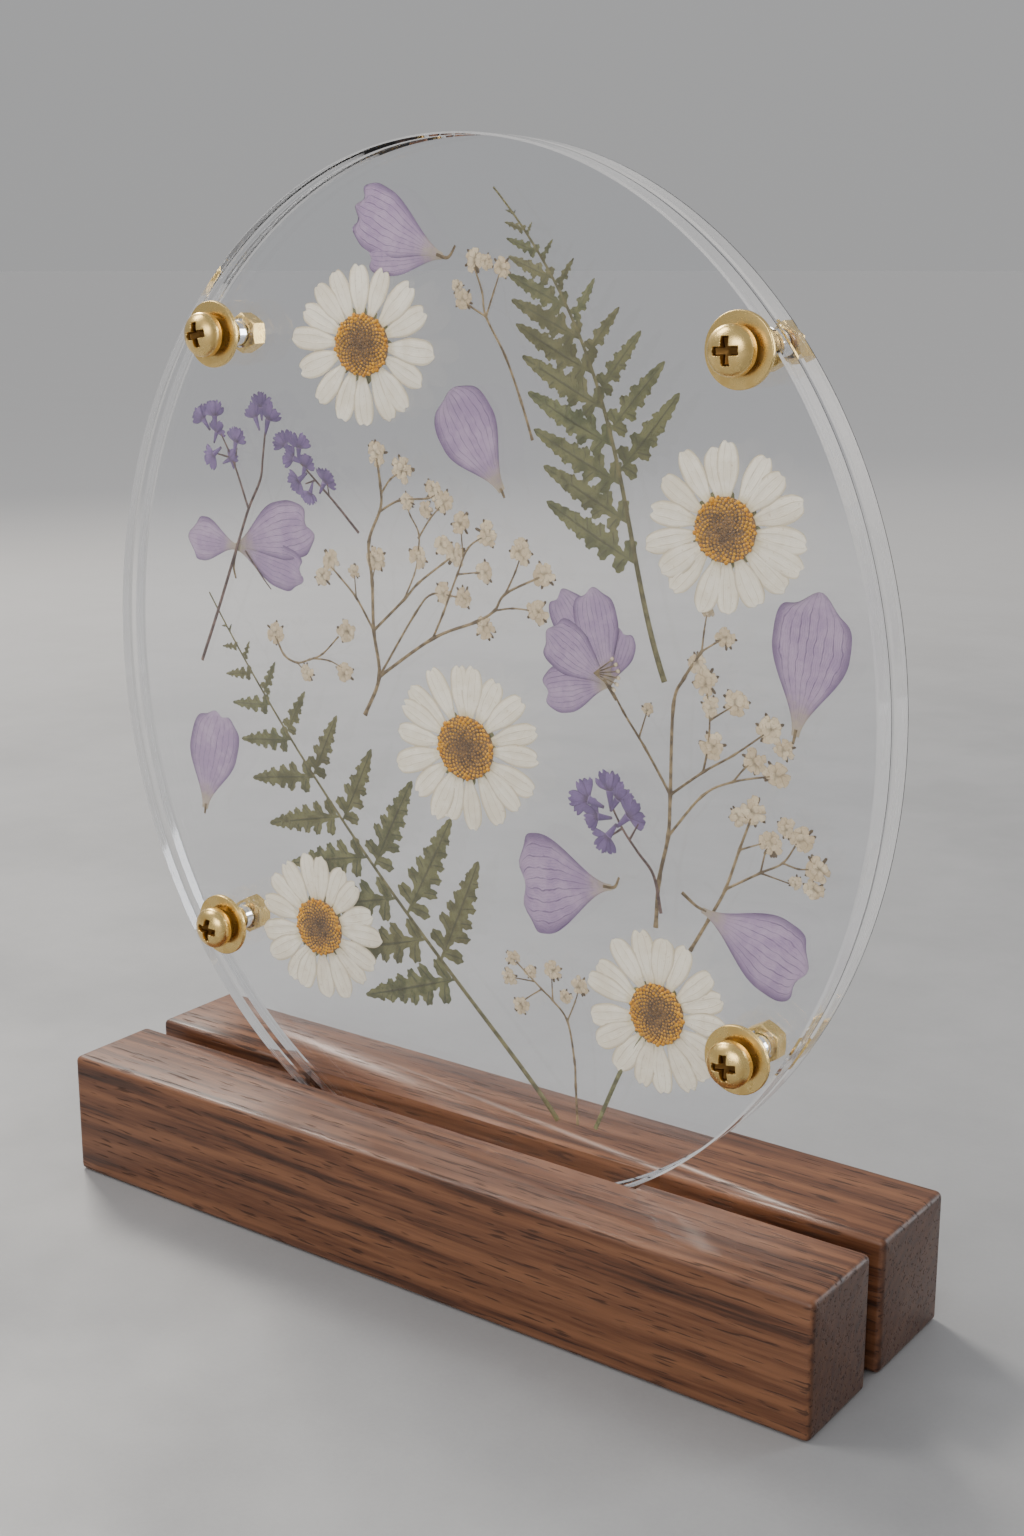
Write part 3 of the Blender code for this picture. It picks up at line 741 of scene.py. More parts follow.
@dataclass(frozen=True)
class FrondFinish(Finish):
    """A pressed fern leaflet: olive green with a dark midrib and slanting side veins."""

    pale: Colour = (0.150, 0.150, 0.052)
    deep: Colour = (0.062, 0.070, 0.022)
    rib: Colour = (0.040, 0.038, 0.014)
    brown: Colour = (0.130, 0.085, 0.030)
    side_veins: float = 26.0

    def dress(self, bench: NodeBench, shader: bpy.types.Node) -> None:
        """Blotched green, a rib down the middle, and veins that slant forward from it.

        Args:
            bench: A bench on the material's tree.
            shader: Its Principled shader.
        """
        place = bench.here()
        along, across = bench.blade()
        mottle = bench.group(SharedGroups.mottle(), {"Place": place, "Patch Scale": 320.0,
                                                     "Fleck Scale": 1300.0})
        off_middle = bench.math("ABSOLUTE", bench.math("SUBTRACT", across, 0.5))
        rib = bench.rescale(off_middle, 0.02, 0.10, 1.0, 0.0)
        slant = bench.math("SUBTRACT", along, bench.math("MULTIPLY", off_middle, 0.10))
        veins = bench.group(SharedGroups.veins(), {
            "Place": place, "Along": across, "Across": slant, "Count": self.side_veins,
            "Waver": 0.02, "Width": 0.35}).outputs[0]
        body = bench.blend(mottle.outputs["Patches"], self.pale, self.deep)
        body = bench.blend(bench.math("MULTIPLY", bench.tone(), 0.55), body, self.brown)
        veined = bench.blend(bench.math("MULTIPLY", veins, 0.45), body, self.rib)
        ribbed = bench.blend(bench.math("MULTIPLY", rib, 0.8), veined, self.rib)
        bench.feed(shader.inputs["Base Color"],
                   bench.blend(bench.math("MULTIPLY", mottle.outputs["Flecks"], 0.4), ribbed,
                               self.brown))
        bench.feed(shader.inputs["Roughness"],
                   bench.rescale(mottle.outputs["Patches"], 0.0, 1.0, 0.5, 0.75))
        relief = bench.math("ADD", rib, bench.math("MULTIPLY", veins, 0.5))
        bench.feed(shader.inputs["Normal"], bench.bump(relief, 0.00006, 0.8))


@dataclass(frozen=True)
class StemFinish(Finish):
    """A dried stem with fine ridges along it and darker joints."""

    pale: Colour = (0.270, 0.190, 0.085)
    dark: Colour = (0.085, 0.055, 0.024)

    def dress(self, bench: NodeBench, shader: bpy.types.Node) -> None:
        """Ridges run along the blade, and blotches darken it.

        Args:
            bench: A bench on the material's tree.
            shader: Its Principled shader.
        """
        place = bench.here()
        along, across = bench.blade()
        mottle = bench.group(SharedGroups.mottle(), {"Place": place, "Patch Scale": 420.0,
                                                     "Fleck Scale": 1700.0})
        ridges = bench.group(SharedGroups.veins(), {
            "Place": place, "Along": along, "Across": across, "Count": 6.0, "Waver": 0.05,
            "Width": 0.5}).outputs[0]
        body = bench.blend(mottle.outputs["Patches"], self.pale, self.dark)
        body = bench.blend(bench.math("MULTIPLY", ridges, 0.35), body, self.dark)
        bench.feed(shader.inputs["Base Color"], bench.blend(bench.tone(), body, self.dark))
        bench.feed(shader.inputs["Roughness"],
                   bench.rescale(mottle.outputs["Patches"], 0.0, 1.0, 0.6, 0.8))
        bench.feed(shader.inputs["Normal"], bench.bump(ridges, 0.00004, 0.6))


@dataclass(frozen=True)
class FloorFinish(Finish):
    """A plain pale floor with the faintest clouding, painted paler further out as painted light that
    blends it into the surround.
    """

    pale: Colour = (0.40, 0.40, 0.405)
    deep: Colour = (0.31, 0.31, 0.315)
    far: Colour = (0.90, 0.88, 0.86)
    painted_light_start: float = 0.42
    painted_light_end: float = 1.75

    def dress(self, bench: NodeBench, shader: bpy.types.Node) -> None:
        """Soft large clouds and a fine speckle, both slight; the colour is painted paler with the
        distance out, as painted light.

        Args:
            bench: A bench on the material's tree.
            shader: Its Principled shader.
        """
        place = bench.here()
        clouds = bench.rescale(bench.noise(place, 9.0, 5.0, 0.6), 0.3, 0.7)
        speckle = bench.noise(place, 900.0, 2.0)
        near = bench.blend(bench.math("ADD", bench.math("MULTIPLY", clouds, 0.7),
                                      bench.math("MULTIPLY", speckle, 0.3)),
                           self.pale, self.deep)
        # Painted light: the colour grows paler from near to far, standing in for the light that the
        # lamps lose with distance.
        reach = bench.add("VectorMath", {0: place}, operation="LENGTH").outputs["Value"]
        bench.feed(shader.inputs["Base Color"], bench.blend(
            bench.rescale(reach, self.painted_light_start, self.painted_light_end), near, self.far))
        bench.feed(shader.inputs["Roughness"], bench.rescale(clouds, 0.0, 1.0, 0.5, 0.62))
        bench.feed(shader.inputs["Normal"], bench.bump(speckle, 0.0001, 0.15))


WALNUT = WalnutFinish("oiled_walnut")
ACRYLIC = AcrylicFinish("cast_acrylic")
RIM = AcrylicFinish("polished_rim", refraction=1.06, gloss_coat=1.0, smear=0.05, streaks=0.35)
BRASS = BrassFinish("satin_brass")
IVORY = PetalFinish("daisy_ray")
BEADS = BeadFinish("daisy_eye")
BRACT = StemFinish("daisy_bracts", (0.20, 0.20, 0.075), (0.085, 0.080, 0.030))
FROND = FrondFinish("fern_leaflet")
RACHIS = StemFinish("fern_rachis", (0.150, 0.130, 0.045), (0.070, 0.062, 0.022))
STRAW = StemFinish("dried_stem")
TWIG = StemFinish("larkspur_stem", (0.140, 0.080, 0.060), (0.055, 0.030, 0.026))
CREAM = PetalFinish("gypsophila_cream", pale=(0.74, 0.62, 0.43), deep=(0.46, 0.34, 0.19),
                    vein=(0.30, 0.20, 0.10), tip=(0.40, 0.27, 0.14), root=(0.14, 0.095, 0.040),
                    vein_count=3.0, tip_start=0.97, root_end=0.42)
LILAC = PetalFinish("lilac_blade", pale=(0.44, 0.32, 0.44), deep=(0.24, 0.145, 0.29),
                    vein=(0.085, 0.040, 0.125), tip=(0.20, 0.11, 0.22), root=(0.48, 0.40, 0.24),
                    vein_count=9.0, vein_strength=0.85, tip_start=0.93, root_end=0.20,
                    relief=0.0003, crumple_scale=230.0)
VIOLET = PetalFinish("violet_bloom", pale=(0.22, 0.14, 0.31), deep=(0.090, 0.052, 0.145),
                     vein=(0.040, 0.020, 0.070), tip=(0.27, 0.19, 0.34), root=(0.07, 0.04, 0.07),
                     vein_count=5.0, vein_strength=0.6, tip_start=0.90, root_end=0.30)


# ------------------------------------------------------------------------------ laying in the gap

@dataclass(frozen=True)
class PlatePlane:
    """The plane that the flowers lie in: the plates' middle, and the gap between them."""

    centre_z: float
    front: float
    back: float

    def depth(self, share: float) -> float:
        """The Y of a place in the gap, 0 at the front plate and 1 at the back plate."""
        return self.front + share * (self.back - self.front)

    def points(self, x: Array, lift: Array, z: Array, depth: float) -> Array:
        """Points in the room from places in the plane.

        Args:
            x: Millimetres right of the plates' middle.
            lift: Millimetres towards the front from the given depth.
            z: Millimetres above the plates' middle.
            depth: The Y that the lift is measured from.

        Returns:
            Points in metres, with one more axis than the arrays given.
        """
        x, lift, z = np.broadcast_arrays(x, lift, z)
        return np.stack([x * MM, depth - lift * MM, self.centre_z + z * MM], axis=-1)


@dataclass(frozen=True)
class Seat:
    """Where a blade is laid: its root, its heading from +X towards +Z, and its depth."""

    plane: PlatePlane
    root: Point
    heading: float
    depth: float

    def place(self, along: Array, across: Array, lift: Array) -> Array:
        """Blade coordinates in millimetres turned into points in the room.

        Args:
            along: Distance from the root, along the heading.
            across: Distance to the left of the heading.
            lift: Distance towards the front.

        Returns:
            Points in metres.
        """
        cos, sin = math.cos(self.heading), math.sin(self.heading)
        return self.plane.points(self.root[0] + along * cos - across * sin, lift,
                                 self.root[1] + along * sin + across * cos, self.depth)


def smooth_step(t: Array) -> Array:
    """Rises from 0 to 1 with flat ends, three t squared less two t cubed."""
    t = np.clip(t, 0, 1)
    return t * t * (3 - 2 * t)


def smooth_line(knots: Sequence[Point], per_span: int = 8) -> Array:
    """A smooth line through points, as a Catmull-Rom curve.

    Each span is a cubic whose end slopes are half the step between the knots on either side.

    Args:
        knots: The points to pass through.
        per_span: Samples in each span.

    Returns:
        The samples, shaped samples by 2.
    """
    k = np.array(knots, float)
    padded = np.concatenate([[2 * k[0] - k[1]], k, [2 * k[-1] - k[-2]]])
    t = (np.arange(per_span) / per_span)[None, :, None]
    p0, p1, p2, p3 = (padded[i:len(padded) - 3 + i, None] for i in range(4))
    line = 0.5 * (2 * p1 + (p2 - p0) * t + (2 * p0 - 5 * p1 + 4 * p2 - p3) * t ** 2
                  + (3 * p1 - p0 - 3 * p2 + p3) * t ** 3)
    return np.concatenate([line.reshape(-1, 2), k[-1:]])


def headings(line: Array) -> Array:
    """The unit direction of travel at each sample of a line."""
    step = np.gradient(line, axis=0)
    return step / np.linalg.norm(step, axis=1, keepdims=True)


def stem_skin(plane: PlatePlane, line: Array, radius: Array | float, depth: float,
              flatness: float = 0.5, sides: int = 8, tone: Array | float = 0.0,
              finish: int = 0) -> Surface:
    """A pressed stem: a squeezed ring carried along a line in the plane.

    Each ring is the line's point, plus the radius times a cosine across the line, and the radius
    times a sine and the flatness towards the front.

    Args:
        plane: The plane that it lies in.
        line: Its middle, in plate millimetres.
        radius: Its radius in millimetres, one or one for each sample.
        depth: The Y of its middle.
        flatness: Its thickness as a share of its width.
        sides: Points in each ring.
        tone: One tone, or one for each sample.
        finish: Which of the piece's finishes it takes.

    Returns:
        The stem's skin.
    """
    way = headings(line)
    turn = np.linspace(0, 2 * math.pi, sides, endpoint=False)[None]
    reach = np.broadcast_to(radius, (len(line),))[:, None]
    across = reach * np.cos(turn)
    rings = plane.points(line[:, :1] - across * way[:, 1:], reach * flatness * np.sin(turn),
                         line[:, 1:] + across * way[:, :1], depth)
    tones = np.broadcast_to(tone, (len(line),))[:, None] * np.ones((1, sides))
    return skin(rings, Ends.FANS, tones, finish)


@dataclass(frozen=True)
class BladeShape:
    """A petal or bract, in millimetres, as a function of t along it and s across it.

    Its half width rises smoothly from the root's to its widest place, then closes like the end of
    an ellipse, more squarely for a higher blunt. A cosine of t gives its margin teeth. The tip is
    scalloped by a cosine of the place across it, and notched in its middle. The blade is cupped
    by s squared, and waves by sines of t and s.
    """

    length: float
    half_width: float
    root_width: float = 0.35
    widest: float = 0.6
    blunt: float = 0.6
    scallop: float = 0.0
    scallops: float = 3.0
    notch: float = 0.0
    bend: float = 0.0
    cup: float = 0.05
    wave: float = 0.04
    ridge: float = 0.0
    phase: float = 0.0
    teeth: float = 0.0
    tooth_count: float = 3.0

    def local(self, rows: int, columns: int) -> tuple[Array, Array, Array]:
        """The blade's grid in its own coordinates.

        Args:
            rows: Samples along it.
            columns: Samples across it.

        Returns:
            Distance along, distance across and lift, each shaped rows by columns.
        """
        t = np.sin(np.linspace(0, math.pi / 2, rows))[:, None]
        s = np.linspace(-1, 1, columns)[None]
        rise = self.root_width + (1 - self.root_width) * smooth_step(t / self.widest)
        late_share = np.clip((t - self.widest) / (1 - self.widest), 0, 1)
        fall = np.sqrt(np.clip(1 - late_share ** (1.6 + 4 * self.blunt), 0.0009, 1))
        margin = 1 + self.teeth * np.cos(2 * math.pi * self.tooth_count * t + self.phase)
        width = self.half_width * rise * fall * margin
        aside = width * s / self.half_width
        late = t ** 6
        along = self.length * (
            t + self.scallop * late * np.cos(math.pi * self.scallops * aside + self.phase)
            - self.notch * t ** 9 * np.exp(-(aside / 0.2) ** 2))
        across = width * s + self.bend * self.length * t ** 2
        lift = (self.cup * (1 - s * s) * np.sin(math.pi * t)
                + self.wave * np.sin(5 * t + 2 * s + self.phase) * t
                + 0.4 * self.wave * np.sin(13 * t - 3 * s + self.phase) * t
                - self.ridge * np.cos(2 * math.pi * s) * np.sin(math.pi * t))
        return along, across, lift

    def sheet(self, seat: Seat, thickness: float = 0.05, rows: int = 14, columns: int = 9,
              tone: float = 0.0, finish: int = 0) -> Surface:
        """The blade as a closed thin sheet, laid at a seat.

        Args:
            seat: Where it is laid.
            thickness: Its thickness in millimetres.
            rows: Samples along it.
            columns: Samples across it.
            tone: Its tone.
            finish: Which of the piece's finishes it takes.

        Returns:
            The sheet.
        """
        return thin_sheet(seat.place(*self.local(rows, columns)), thickness * MM, tone, finish)


# ------------------------------------------------------------------------------ walnut base

@dataclass
class WalnutBase:
    """Two eased walnut bars with a spacer strip between them."""

    edge: float = 1.4 * MM
    rounding: int = 5
    pocket_half_length: float = 50.5 * MM
    pocket_half_width: float = 7.0 * MM
    plate_middle_y: float = -2.0 * MM

    def profile(self, low: Vector, high: Vector, edge: float) -> Array:
        """A rectangle with quarter-circle corners, as corner centres plus a turning radius.

        Args:
            low: The bar's lowest corner.
            high: Its highest corner.
            edge: The radius of its corners.

        Returns:
            Points as Y and Z, each corner with the same number of samples.
        """
        turn = np.linspace(0, math.pi / 2, self.rounding)
        corners = [(high.y, high.z, 0), (low.y, high.z, 1), (low.y, low.z, 2), (high.y, low.z, 3)]
        rows = []
        for y, z, quarter in corners:
            middle_y = y - math.copysign(self.edge, y - (low.y + high.y) / 2)
            middle_z = z - math.copysign(self.edge, z - (low.z + high.z) / 2)
            angle = turn + quarter * math.pi / 2
            rows.append(np.stack([middle_y + edge * np.cos(angle),
                                  middle_z + edge * np.sin(angle)], axis=-1))
        return np.concatenate(rows)

    def bar(self, low: Vector, high: Vector) -> Surface:
        """A bar: the rounded profile carried along X, drawn in round both ends.

        Near an end the corner radius follows a cosine while X follows a sine, so the end's edges
        are rounded like the long ones.

        Args:
            low: Its lowest corner.
            high: Its highest corner.

        Returns:
            The bar's skin.
        """
        swing = np.linspace(0, math.pi / 2, self.rounding)
        start = [(low.x + self.edge * (1 - math.sin(a)), self.edge * math.cos(a))
                 for a in swing[::-1]]
        end = [(high.x - self.edge * (1 - math.sin(a)), self.edge * math.cos(a)) for a in swing]
        stations = start + end
        rings = []
        for x, edge in stations:
            section = self.profile(low, high, max(edge, 0.02 * MM))
            rings.append(np.concatenate([np.full((len(section), 1), x), section], axis=1))
        return skin(np.stack(rings), Ends.FANS)

    def build(self) -> None:
        """Makes both bars, each with its pocket cut."""
        for node in ("base_front_bar", "base_back_bar"):
            low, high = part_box(node)
            piece = make_piece(f"{node}_walnut", [self.bar(low, high)], [WALNUT], [node],
                               60.0)
            self.cut_pocket(piece)

    def cut_pocket(self, bar: bpy.types.Object) -> None:
        """Cuts the routed pocket for the plates out of a bar.

        Args:
            bar: The bar, whose mesh is changed.
        """
        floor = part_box("base_slot_spacer")[1].z
        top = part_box("base_front_bar")[1].z + 5 * MM
        x, y = self.pocket_half_length, self.pocket_half_width
        section = np.array([(-x, -y), (x, -y), (x, y), (-x, y)])
        rings = np.stack([np.column_stack([section[:, 0], section[:, 1] + self.plate_middle_y,
                                           np.full(4, z)]) for z in (floor, top)])
        cutter = make_tool("pocket_tool", skin(rings, Ends.FANS))
        modifier = bar.modifiers.new("pocket", "BOOLEAN")
        modifier.operation = "DIFFERENCE"
        modifier.solver = "EXACT"
        modifier.object = cutter
        graph = bpy.context.evaluated_depsgraph_get()
        graph.update()
        cut = bpy.data.meshes.new_from_object(bar.evaluated_get(graph))
        bar.modifiers.clear()
        bar.data = cut
        bpy.data.objects.remove(cutter, do_unlink=True)


def make_tool(name: str, surface: Surface) -> bpy.types.Object:
    """A passing solid that is only cut with and is removed afterwards.

    Args:
        name: Its name.
        surface: Its skin.

    Returns:
        The object.
    """
    mesh = bpy.data.meshes.new(name)
    mesh.from_pydata(surface.points.tolist(), [],
                     surface.quads.tolist() + surface.triangles.tolist())
    tool = bpy.data.objects.new(name, mesh)
    bpy.context.scene.collection.objects.link(tool)
    return tool


# ------------------------------------------------------------------------------ clear plates

@dataclass
class AcrylicPlates:
    """Two oval plates with eased, polished rims and a bore at each bolt."""

    rim_samples: int = 360
    bore_samples: int = 40
    bore_radius: float = 2.9 * MM
    bevel: float = 0.45 * MM

    def loops(self, low: Vector, high: Vector, bolts: Sequence[Point],
              inset: float) -> list[Array]:
        """The outline and the bores of a plate's face, as loops in the plane.

        Args:
            low: The plate's lowest corner.
            high: Its highest corner.
            bolts: The bores' middles, as X and Z.
            inset: How far the outline is drawn in and the bores are opened.

        Returns:
            The outline first, then one loop for each bore.
        """
        turn = np.linspace(0, 2 * math.pi, self.rim_samples, endpoint=False)
        half = np.array([(high.x - low.x) / 2 - inset, (high.z - low.z) / 2 - inset])
        middle = np.array([(high.x + low.x) / 2, (high.z + low.z) / 2])
        outline = middle + half * np.column_stack([np.cos(turn), np.sin(turn)])
        small = np.linspace(0, 2 * math.pi, self.bore_samples, endpoint=False)
        ring = (self.bore_radius + inset) * np.column_stack([np.cos(small), np.sin(small)])
        return [outline] + [np.array(bolt) + ring for bolt in bolts]

    def plate(self, low: Vector, high: Vector, bolts: Sequence[Point]) -> list[Surface]:
        """A plate's skin: two flat faces, and a bevelled wall round the outline and each bore.

        The wall is four loops at growing depth: drawn in at the front face, full a bevel behind
        it, full a bevel before the back face, and drawn in at the back face.

        Args:
            low: Its lowest corner.
            high: Its highest corner.
            bolts: The bores' middles, as X and Z.

        Returns:
            One closed skin, as a list.
        """
        depths = (low.y, low.y + self.bevel, high.y - self.bevel, high.y)
        insets = (self.bevel, 0.0, 0.0, self.bevel)
        stages = [self.loops(low, high, bolts, inset) for inset in insets]
        sizes = [len(loop) for loop in stages[0]]
        layer = sum(sizes)
        points = np.concatenate([
            np.insert(np.concatenate(loops), 1, y, axis=1) for loops, y in zip(stages, depths)])
        quads, kinds = [], []
        for number, size in enumerate(sizes):
            ring = sum(sizes[:number]) + np.arange(size)
            ahead = np.roll(ring, -1)
            for stage in range(3):
                near, far = stage * layer, (stage + 1) * layer
                wall = np.stack([ring + near, ahead + near, ahead + far, ring + far], axis=-1)
                quads.append(wall[:, ::-1] if number == 0 else wall)
                kinds.append(np.full(size, int(stage == 1 and number == 0)))
        outlines = [[Vector((x, z, 0)) for x, z in loop] for loop in stages[0]]
        face = np.array(tessellate_polygon(outlines))
        a, b, c = (points[face[:, i]][:, [0, 2]] for i in range(3))
        crossed = (b - a)[:, 0] * (c - a)[:, 1] - (b - a)[:, 1] * (c - a)[:, 0]
        face = np.where(crossed[:, None] > 0, face, face[:, ::-1])
        triangles = np.concatenate([face, face[:, ::-1] + 3 * layer])
        quads = np.concatenate(quads)
        surface = Surface(points, quads, np.zeros((len(quads), 4, 2)), triangles,
                          np.zeros((len(triangles), 3, 2)), np.zeros(len(points)),
                          quad_finish=np.concatenate(kinds))
        return [surface.facing_out()]

    def build(self, bolts: Sequence[Point]) -> None:
        """Makes both plates.

        Args:
            bolts: The bolts' middles, as X and Z.
        """
        for node in ("plate_front", "plate_back"):
            low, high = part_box(node)
            make_piece(f"{node}_clear", self.plate(low, high, bolts), [ACRYLIC, RIM], [node],
                       25.0)


# ------------------------------------------------------------------------------ brass bolts

def revolved(radius: Array, height: Array, origin: Vector, ends: Ends,
             tone: Array | float = 0.0, finish: int = 0) -> Surface:
    """A turned shape about an axis that points to the front.

    Each point lies at its radius round the axis and at its height in front of the origin.

    Args:
        radius: Radii in millimetres, shaped rows by angles, or rows by 1.
        height: Heights in millimetres, shaped like the radii.
        origin: The point that heights are measured from.
        ends: How the profile's ends are closed.
        tone: One tone, or one for each row and angle.
        finish: Which of the piece's finishes it takes.

    Returns:
        The skin.
    """
    radius, height = np.broadcast_arrays(radius, height)
    turn = np.linspace(0, 2 * math.pi, radius.shape[1], endpoint=False)[None]
    rings = np.stack([origin.x + radius * MM * np.cos(turn),
                      np.broadcast_to(origin.y - height * MM, radius.shape),
                      origin.z + radius * MM * np.sin(turn)], axis=-1)
    return skin(rings, ends, tone, finish)


@dataclass
class BrassBolt:
    """A domed cross-head screw, its washer and its hex nut, in millimetres."""

    corner: str
    spin: float = 0.0
    segments: int = 64
    head_radius: float = 5.0
    dome: float = 2.6
    band: float = 1.5
    neck: float = 1.4
    neck_radius: float = 4.1
    recess_reach: float = 2.7
    recess_width: float = 0.78
    recess_depth: float = 1.5
    pitch: float = 0.8
    shank_radius: float = 2.5

    def head(self, seat: Vector) -> Surface:
        """The head: a dome with a cross cut into it, a band, and a narrower neck.

        The dome's height is a quarter ellipse of the radius. The recess takes away its depth
        wherever the place lies within half its width of either arm's middle line.

        Args:
            seat: The middle of the neck's seat on the washer.

        Returns:
            The head's skin.
        """
        top = self.neck + self.band
        inner = np.concatenate([np.linspace(0.12, 3.4, 30), np.linspace(3.5, 4.6, 8)])
        arc = np.radians(np.linspace(68, 90, 6))
        radius = np.concatenate([inner, self.head_radius * np.sin(arc)])[:, None]
        turn = np.linspace(0, 2 * math.pi, self.segments * 2, endpoint=False)[None]
        x, y = radius * np.cos(turn - self.spin), radius * np.sin(turn - self.spin)
        spread = np.sqrt(np.clip(1 - (radius / self.head_radius) ** 2, 0, 1))
        height = np.broadcast_to(top + self.dome * spread, x.shape)
        arms = [smooth_step((self.recess_width + 0.12 - np.abs(a)) / 0.24)
                * smooth_step((self.recess_reach + 0.15 - np.abs(b)) / 0.3)
                for a, b in ((x, y), (y, x))]
        cut = np.maximum(*arms)
        floor = top + self.dome - self.recess_depth - 0.22 * np.clip(
            self.recess_reach - radius, 0, None)
        height = height * (1 - cut) + np.minimum(height, floor) * cut
        rim = [(self.head_radius, top - 0.15), (self.head_radius, self.neck + 0.15),
               (self.head_radius - 0.05, self.neck + 0.05), (self.head_radius - 0.15, self.neck),
               (self.neck_radius + 0.1, self.neck), (self.neck_radius, self.neck - 0.1),
               (self.neck_radius, 0.0), (self.shank_radius - 0.2, 0.0)]
        below = np.array(rim)[:, :, None] * np.ones((1, 1, self.segments * 2))
        radius = np.concatenate([np.broadcast_to(radius, x.shape), below[:, 0]])
        height = np.concatenate([height, below[:, 1]])
        # The tone carries painted shade: full in the cross recess, and 0.75 under the head and round
        # its neck.
        depth = np.concatenate([cut, np.zeros(below[:, 0].shape)])
        depth[-5:] = 0.75
        return revolved(radius, height, seat, Ends.FANS, depth)

    def shank(self, seat: Vector, length: float) -> Surface:
        """The threaded shank: its radius rises and falls along a helix.

        The radius drops by a triangle wave of the height over the pitch plus the turn.

        Args:
            seat: The middle of the head's seat.
            length: Its length in millimetres.

        Returns:
            The shank's skin.
        """
        height = -np.linspace(-0.3, length, int(length / self.pitch * 8))[:, None]
        turn = np.linspace(0, 2 * math.pi, 32, endpoint=False)[None]
        phase = (height / self.pitch + turn / (2 * math.pi)) % 1.0
        groove = 1 - np.abs(2 * phase - 1)
        taper = smooth_step((length + height) / 0.8)
        radius = (self.shank_radius - 0.42 * groove) * (0.82 + 0.18 * taper)
        # The tone darkens the thread grooves with painted shade.
        tone = np.clip(groove * 1.1 - 0.35, 0, 1)
        return revolved(radius, height * np.ones_like(turn), seat, Ends.FANS, tone)

    def washer(self, back: Vector, radius: float, bore: float, thickness: float) -> Surface:
        """A flat ring with rounded rims: its section is a rectangle with softened corners.

        Args:
            back: The middle of its back face.
            radius: Its outer radius.
            bore: Its inner radius.
            thickness: Its thickness.

        Returns:
            The washer's skin.
        """
        soft = 0.22
        turn = np.radians(np.linspace(0, 90, 5))
        quarter = np.column_stack([np.cos(turn), np.sin(turn)]) * soft
        corners = [((radius - soft, thickness - soft), (1, 1), 1),
                   ((bore + soft, thickness - soft), (-1, 1), -1),
                   ((bore + soft, soft), (-1, -1), 1), ((radius - soft, soft), (1, -1), -1)]
        section = np.concatenate([np.array(middle) + (quarter * sign)[::step]
                                  for middle, sign, step in corners])
        return revolved(section[:, :1] * np.ones((1, self.segments)), section[:, 1:], back,
                        Ends.LOOPED)

    def nut(self, front: Vector, flats: float, thickness: float) -> Surface:
        """A hex nut: the radius follows a hexagon, and a cone takes its corners off.

        At each turn the radius is half the flats over the cosine of the angle from the nearest
        flat. The faces drop by 0.58 of how far the radius passes the chamfer's start.

        Args:
            front: The middle of its front face.
            flats: Its width across flats.
            thickness: Its thickness.

        Returns:
            The nut's skin.
        """
        turn = np.linspace(0, 2 * math.pi, 96, endpoint=False)[None]
        nearest = (turn + math.pi / 6) % (math.pi / 3) - math.pi / 6
        hexagon = flats / 2 / np.cos(nearest)
        bore = self.shank_radius + 0.05
        shares = [(0.0, 0.0), (0.35, 0.0), (0.8, 0.0), (0.93, 0.0), (1.0, 0.0)]
        ends = []
        for share, _ in shares:
            radius = bore + 0.35 + share * (hexagon - bore - 0.35)
            drop = 0.58 * np.clip(radius - flats / 2 + 0.12, 0, None)
            ends.append((radius, drop))
        rows = [(bore * np.ones_like(turn), 0.35 * np.ones_like(turn))]
        rows += ends
        rows += [(radius, thickness - drop) for radius, drop in ends[::-1]]
        rows += [(bore * np.ones_like(turn), (thickness - 0.35) * np.ones_like(turn))]
        return revolved(np.concatenate([r for r, _ in rows]),
                        -np.concatenate([h for _, h in rows]), front, Ends.LOOPED)

    def build(self) -> None:
        """Makes the bolt's three pieces over their CAD nodes."""
        names = [f"{kind}_{self.corner}" for kind in ("screw", "washer", "nut")]
        (low, high), (ring_low, ring_high), (nut_low, nut_high) = (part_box(n) for n in names)
        x, z = (low.x + high.x) / 2, (low.z + high.z) / 2
        seat = Vector((x, ring_low.y - 0.05 * MM, z))
        length = (high.y - seat.y) / MM
        make_piece(f"{names[0]}_brass", [self.head(seat), self.shank(seat, length)], [BRASS],
                   [names[0]], 50.0)
        back = Vector((x, ring_high.y, z))
        make_piece(f"{names[1]}_brass", [self.washer(
            back, (ring_high.x - ring_low.x) / 2 / MM, 2.75, (ring_high.y - ring_low.y) / MM)],
            [BRASS], [names[1]], 50.0)
        front = Vector((x, nut_low.y, z))
        make_piece(f"{names[2]}_brass", [self.nut(
            front, (nut_high.x - nut_low.x) / MM, (nut_high.y - nut_low.y) / MM)], [BRASS],
            [names[2]], 25.0)


# ------------------------------------------------------------------------------ daisies

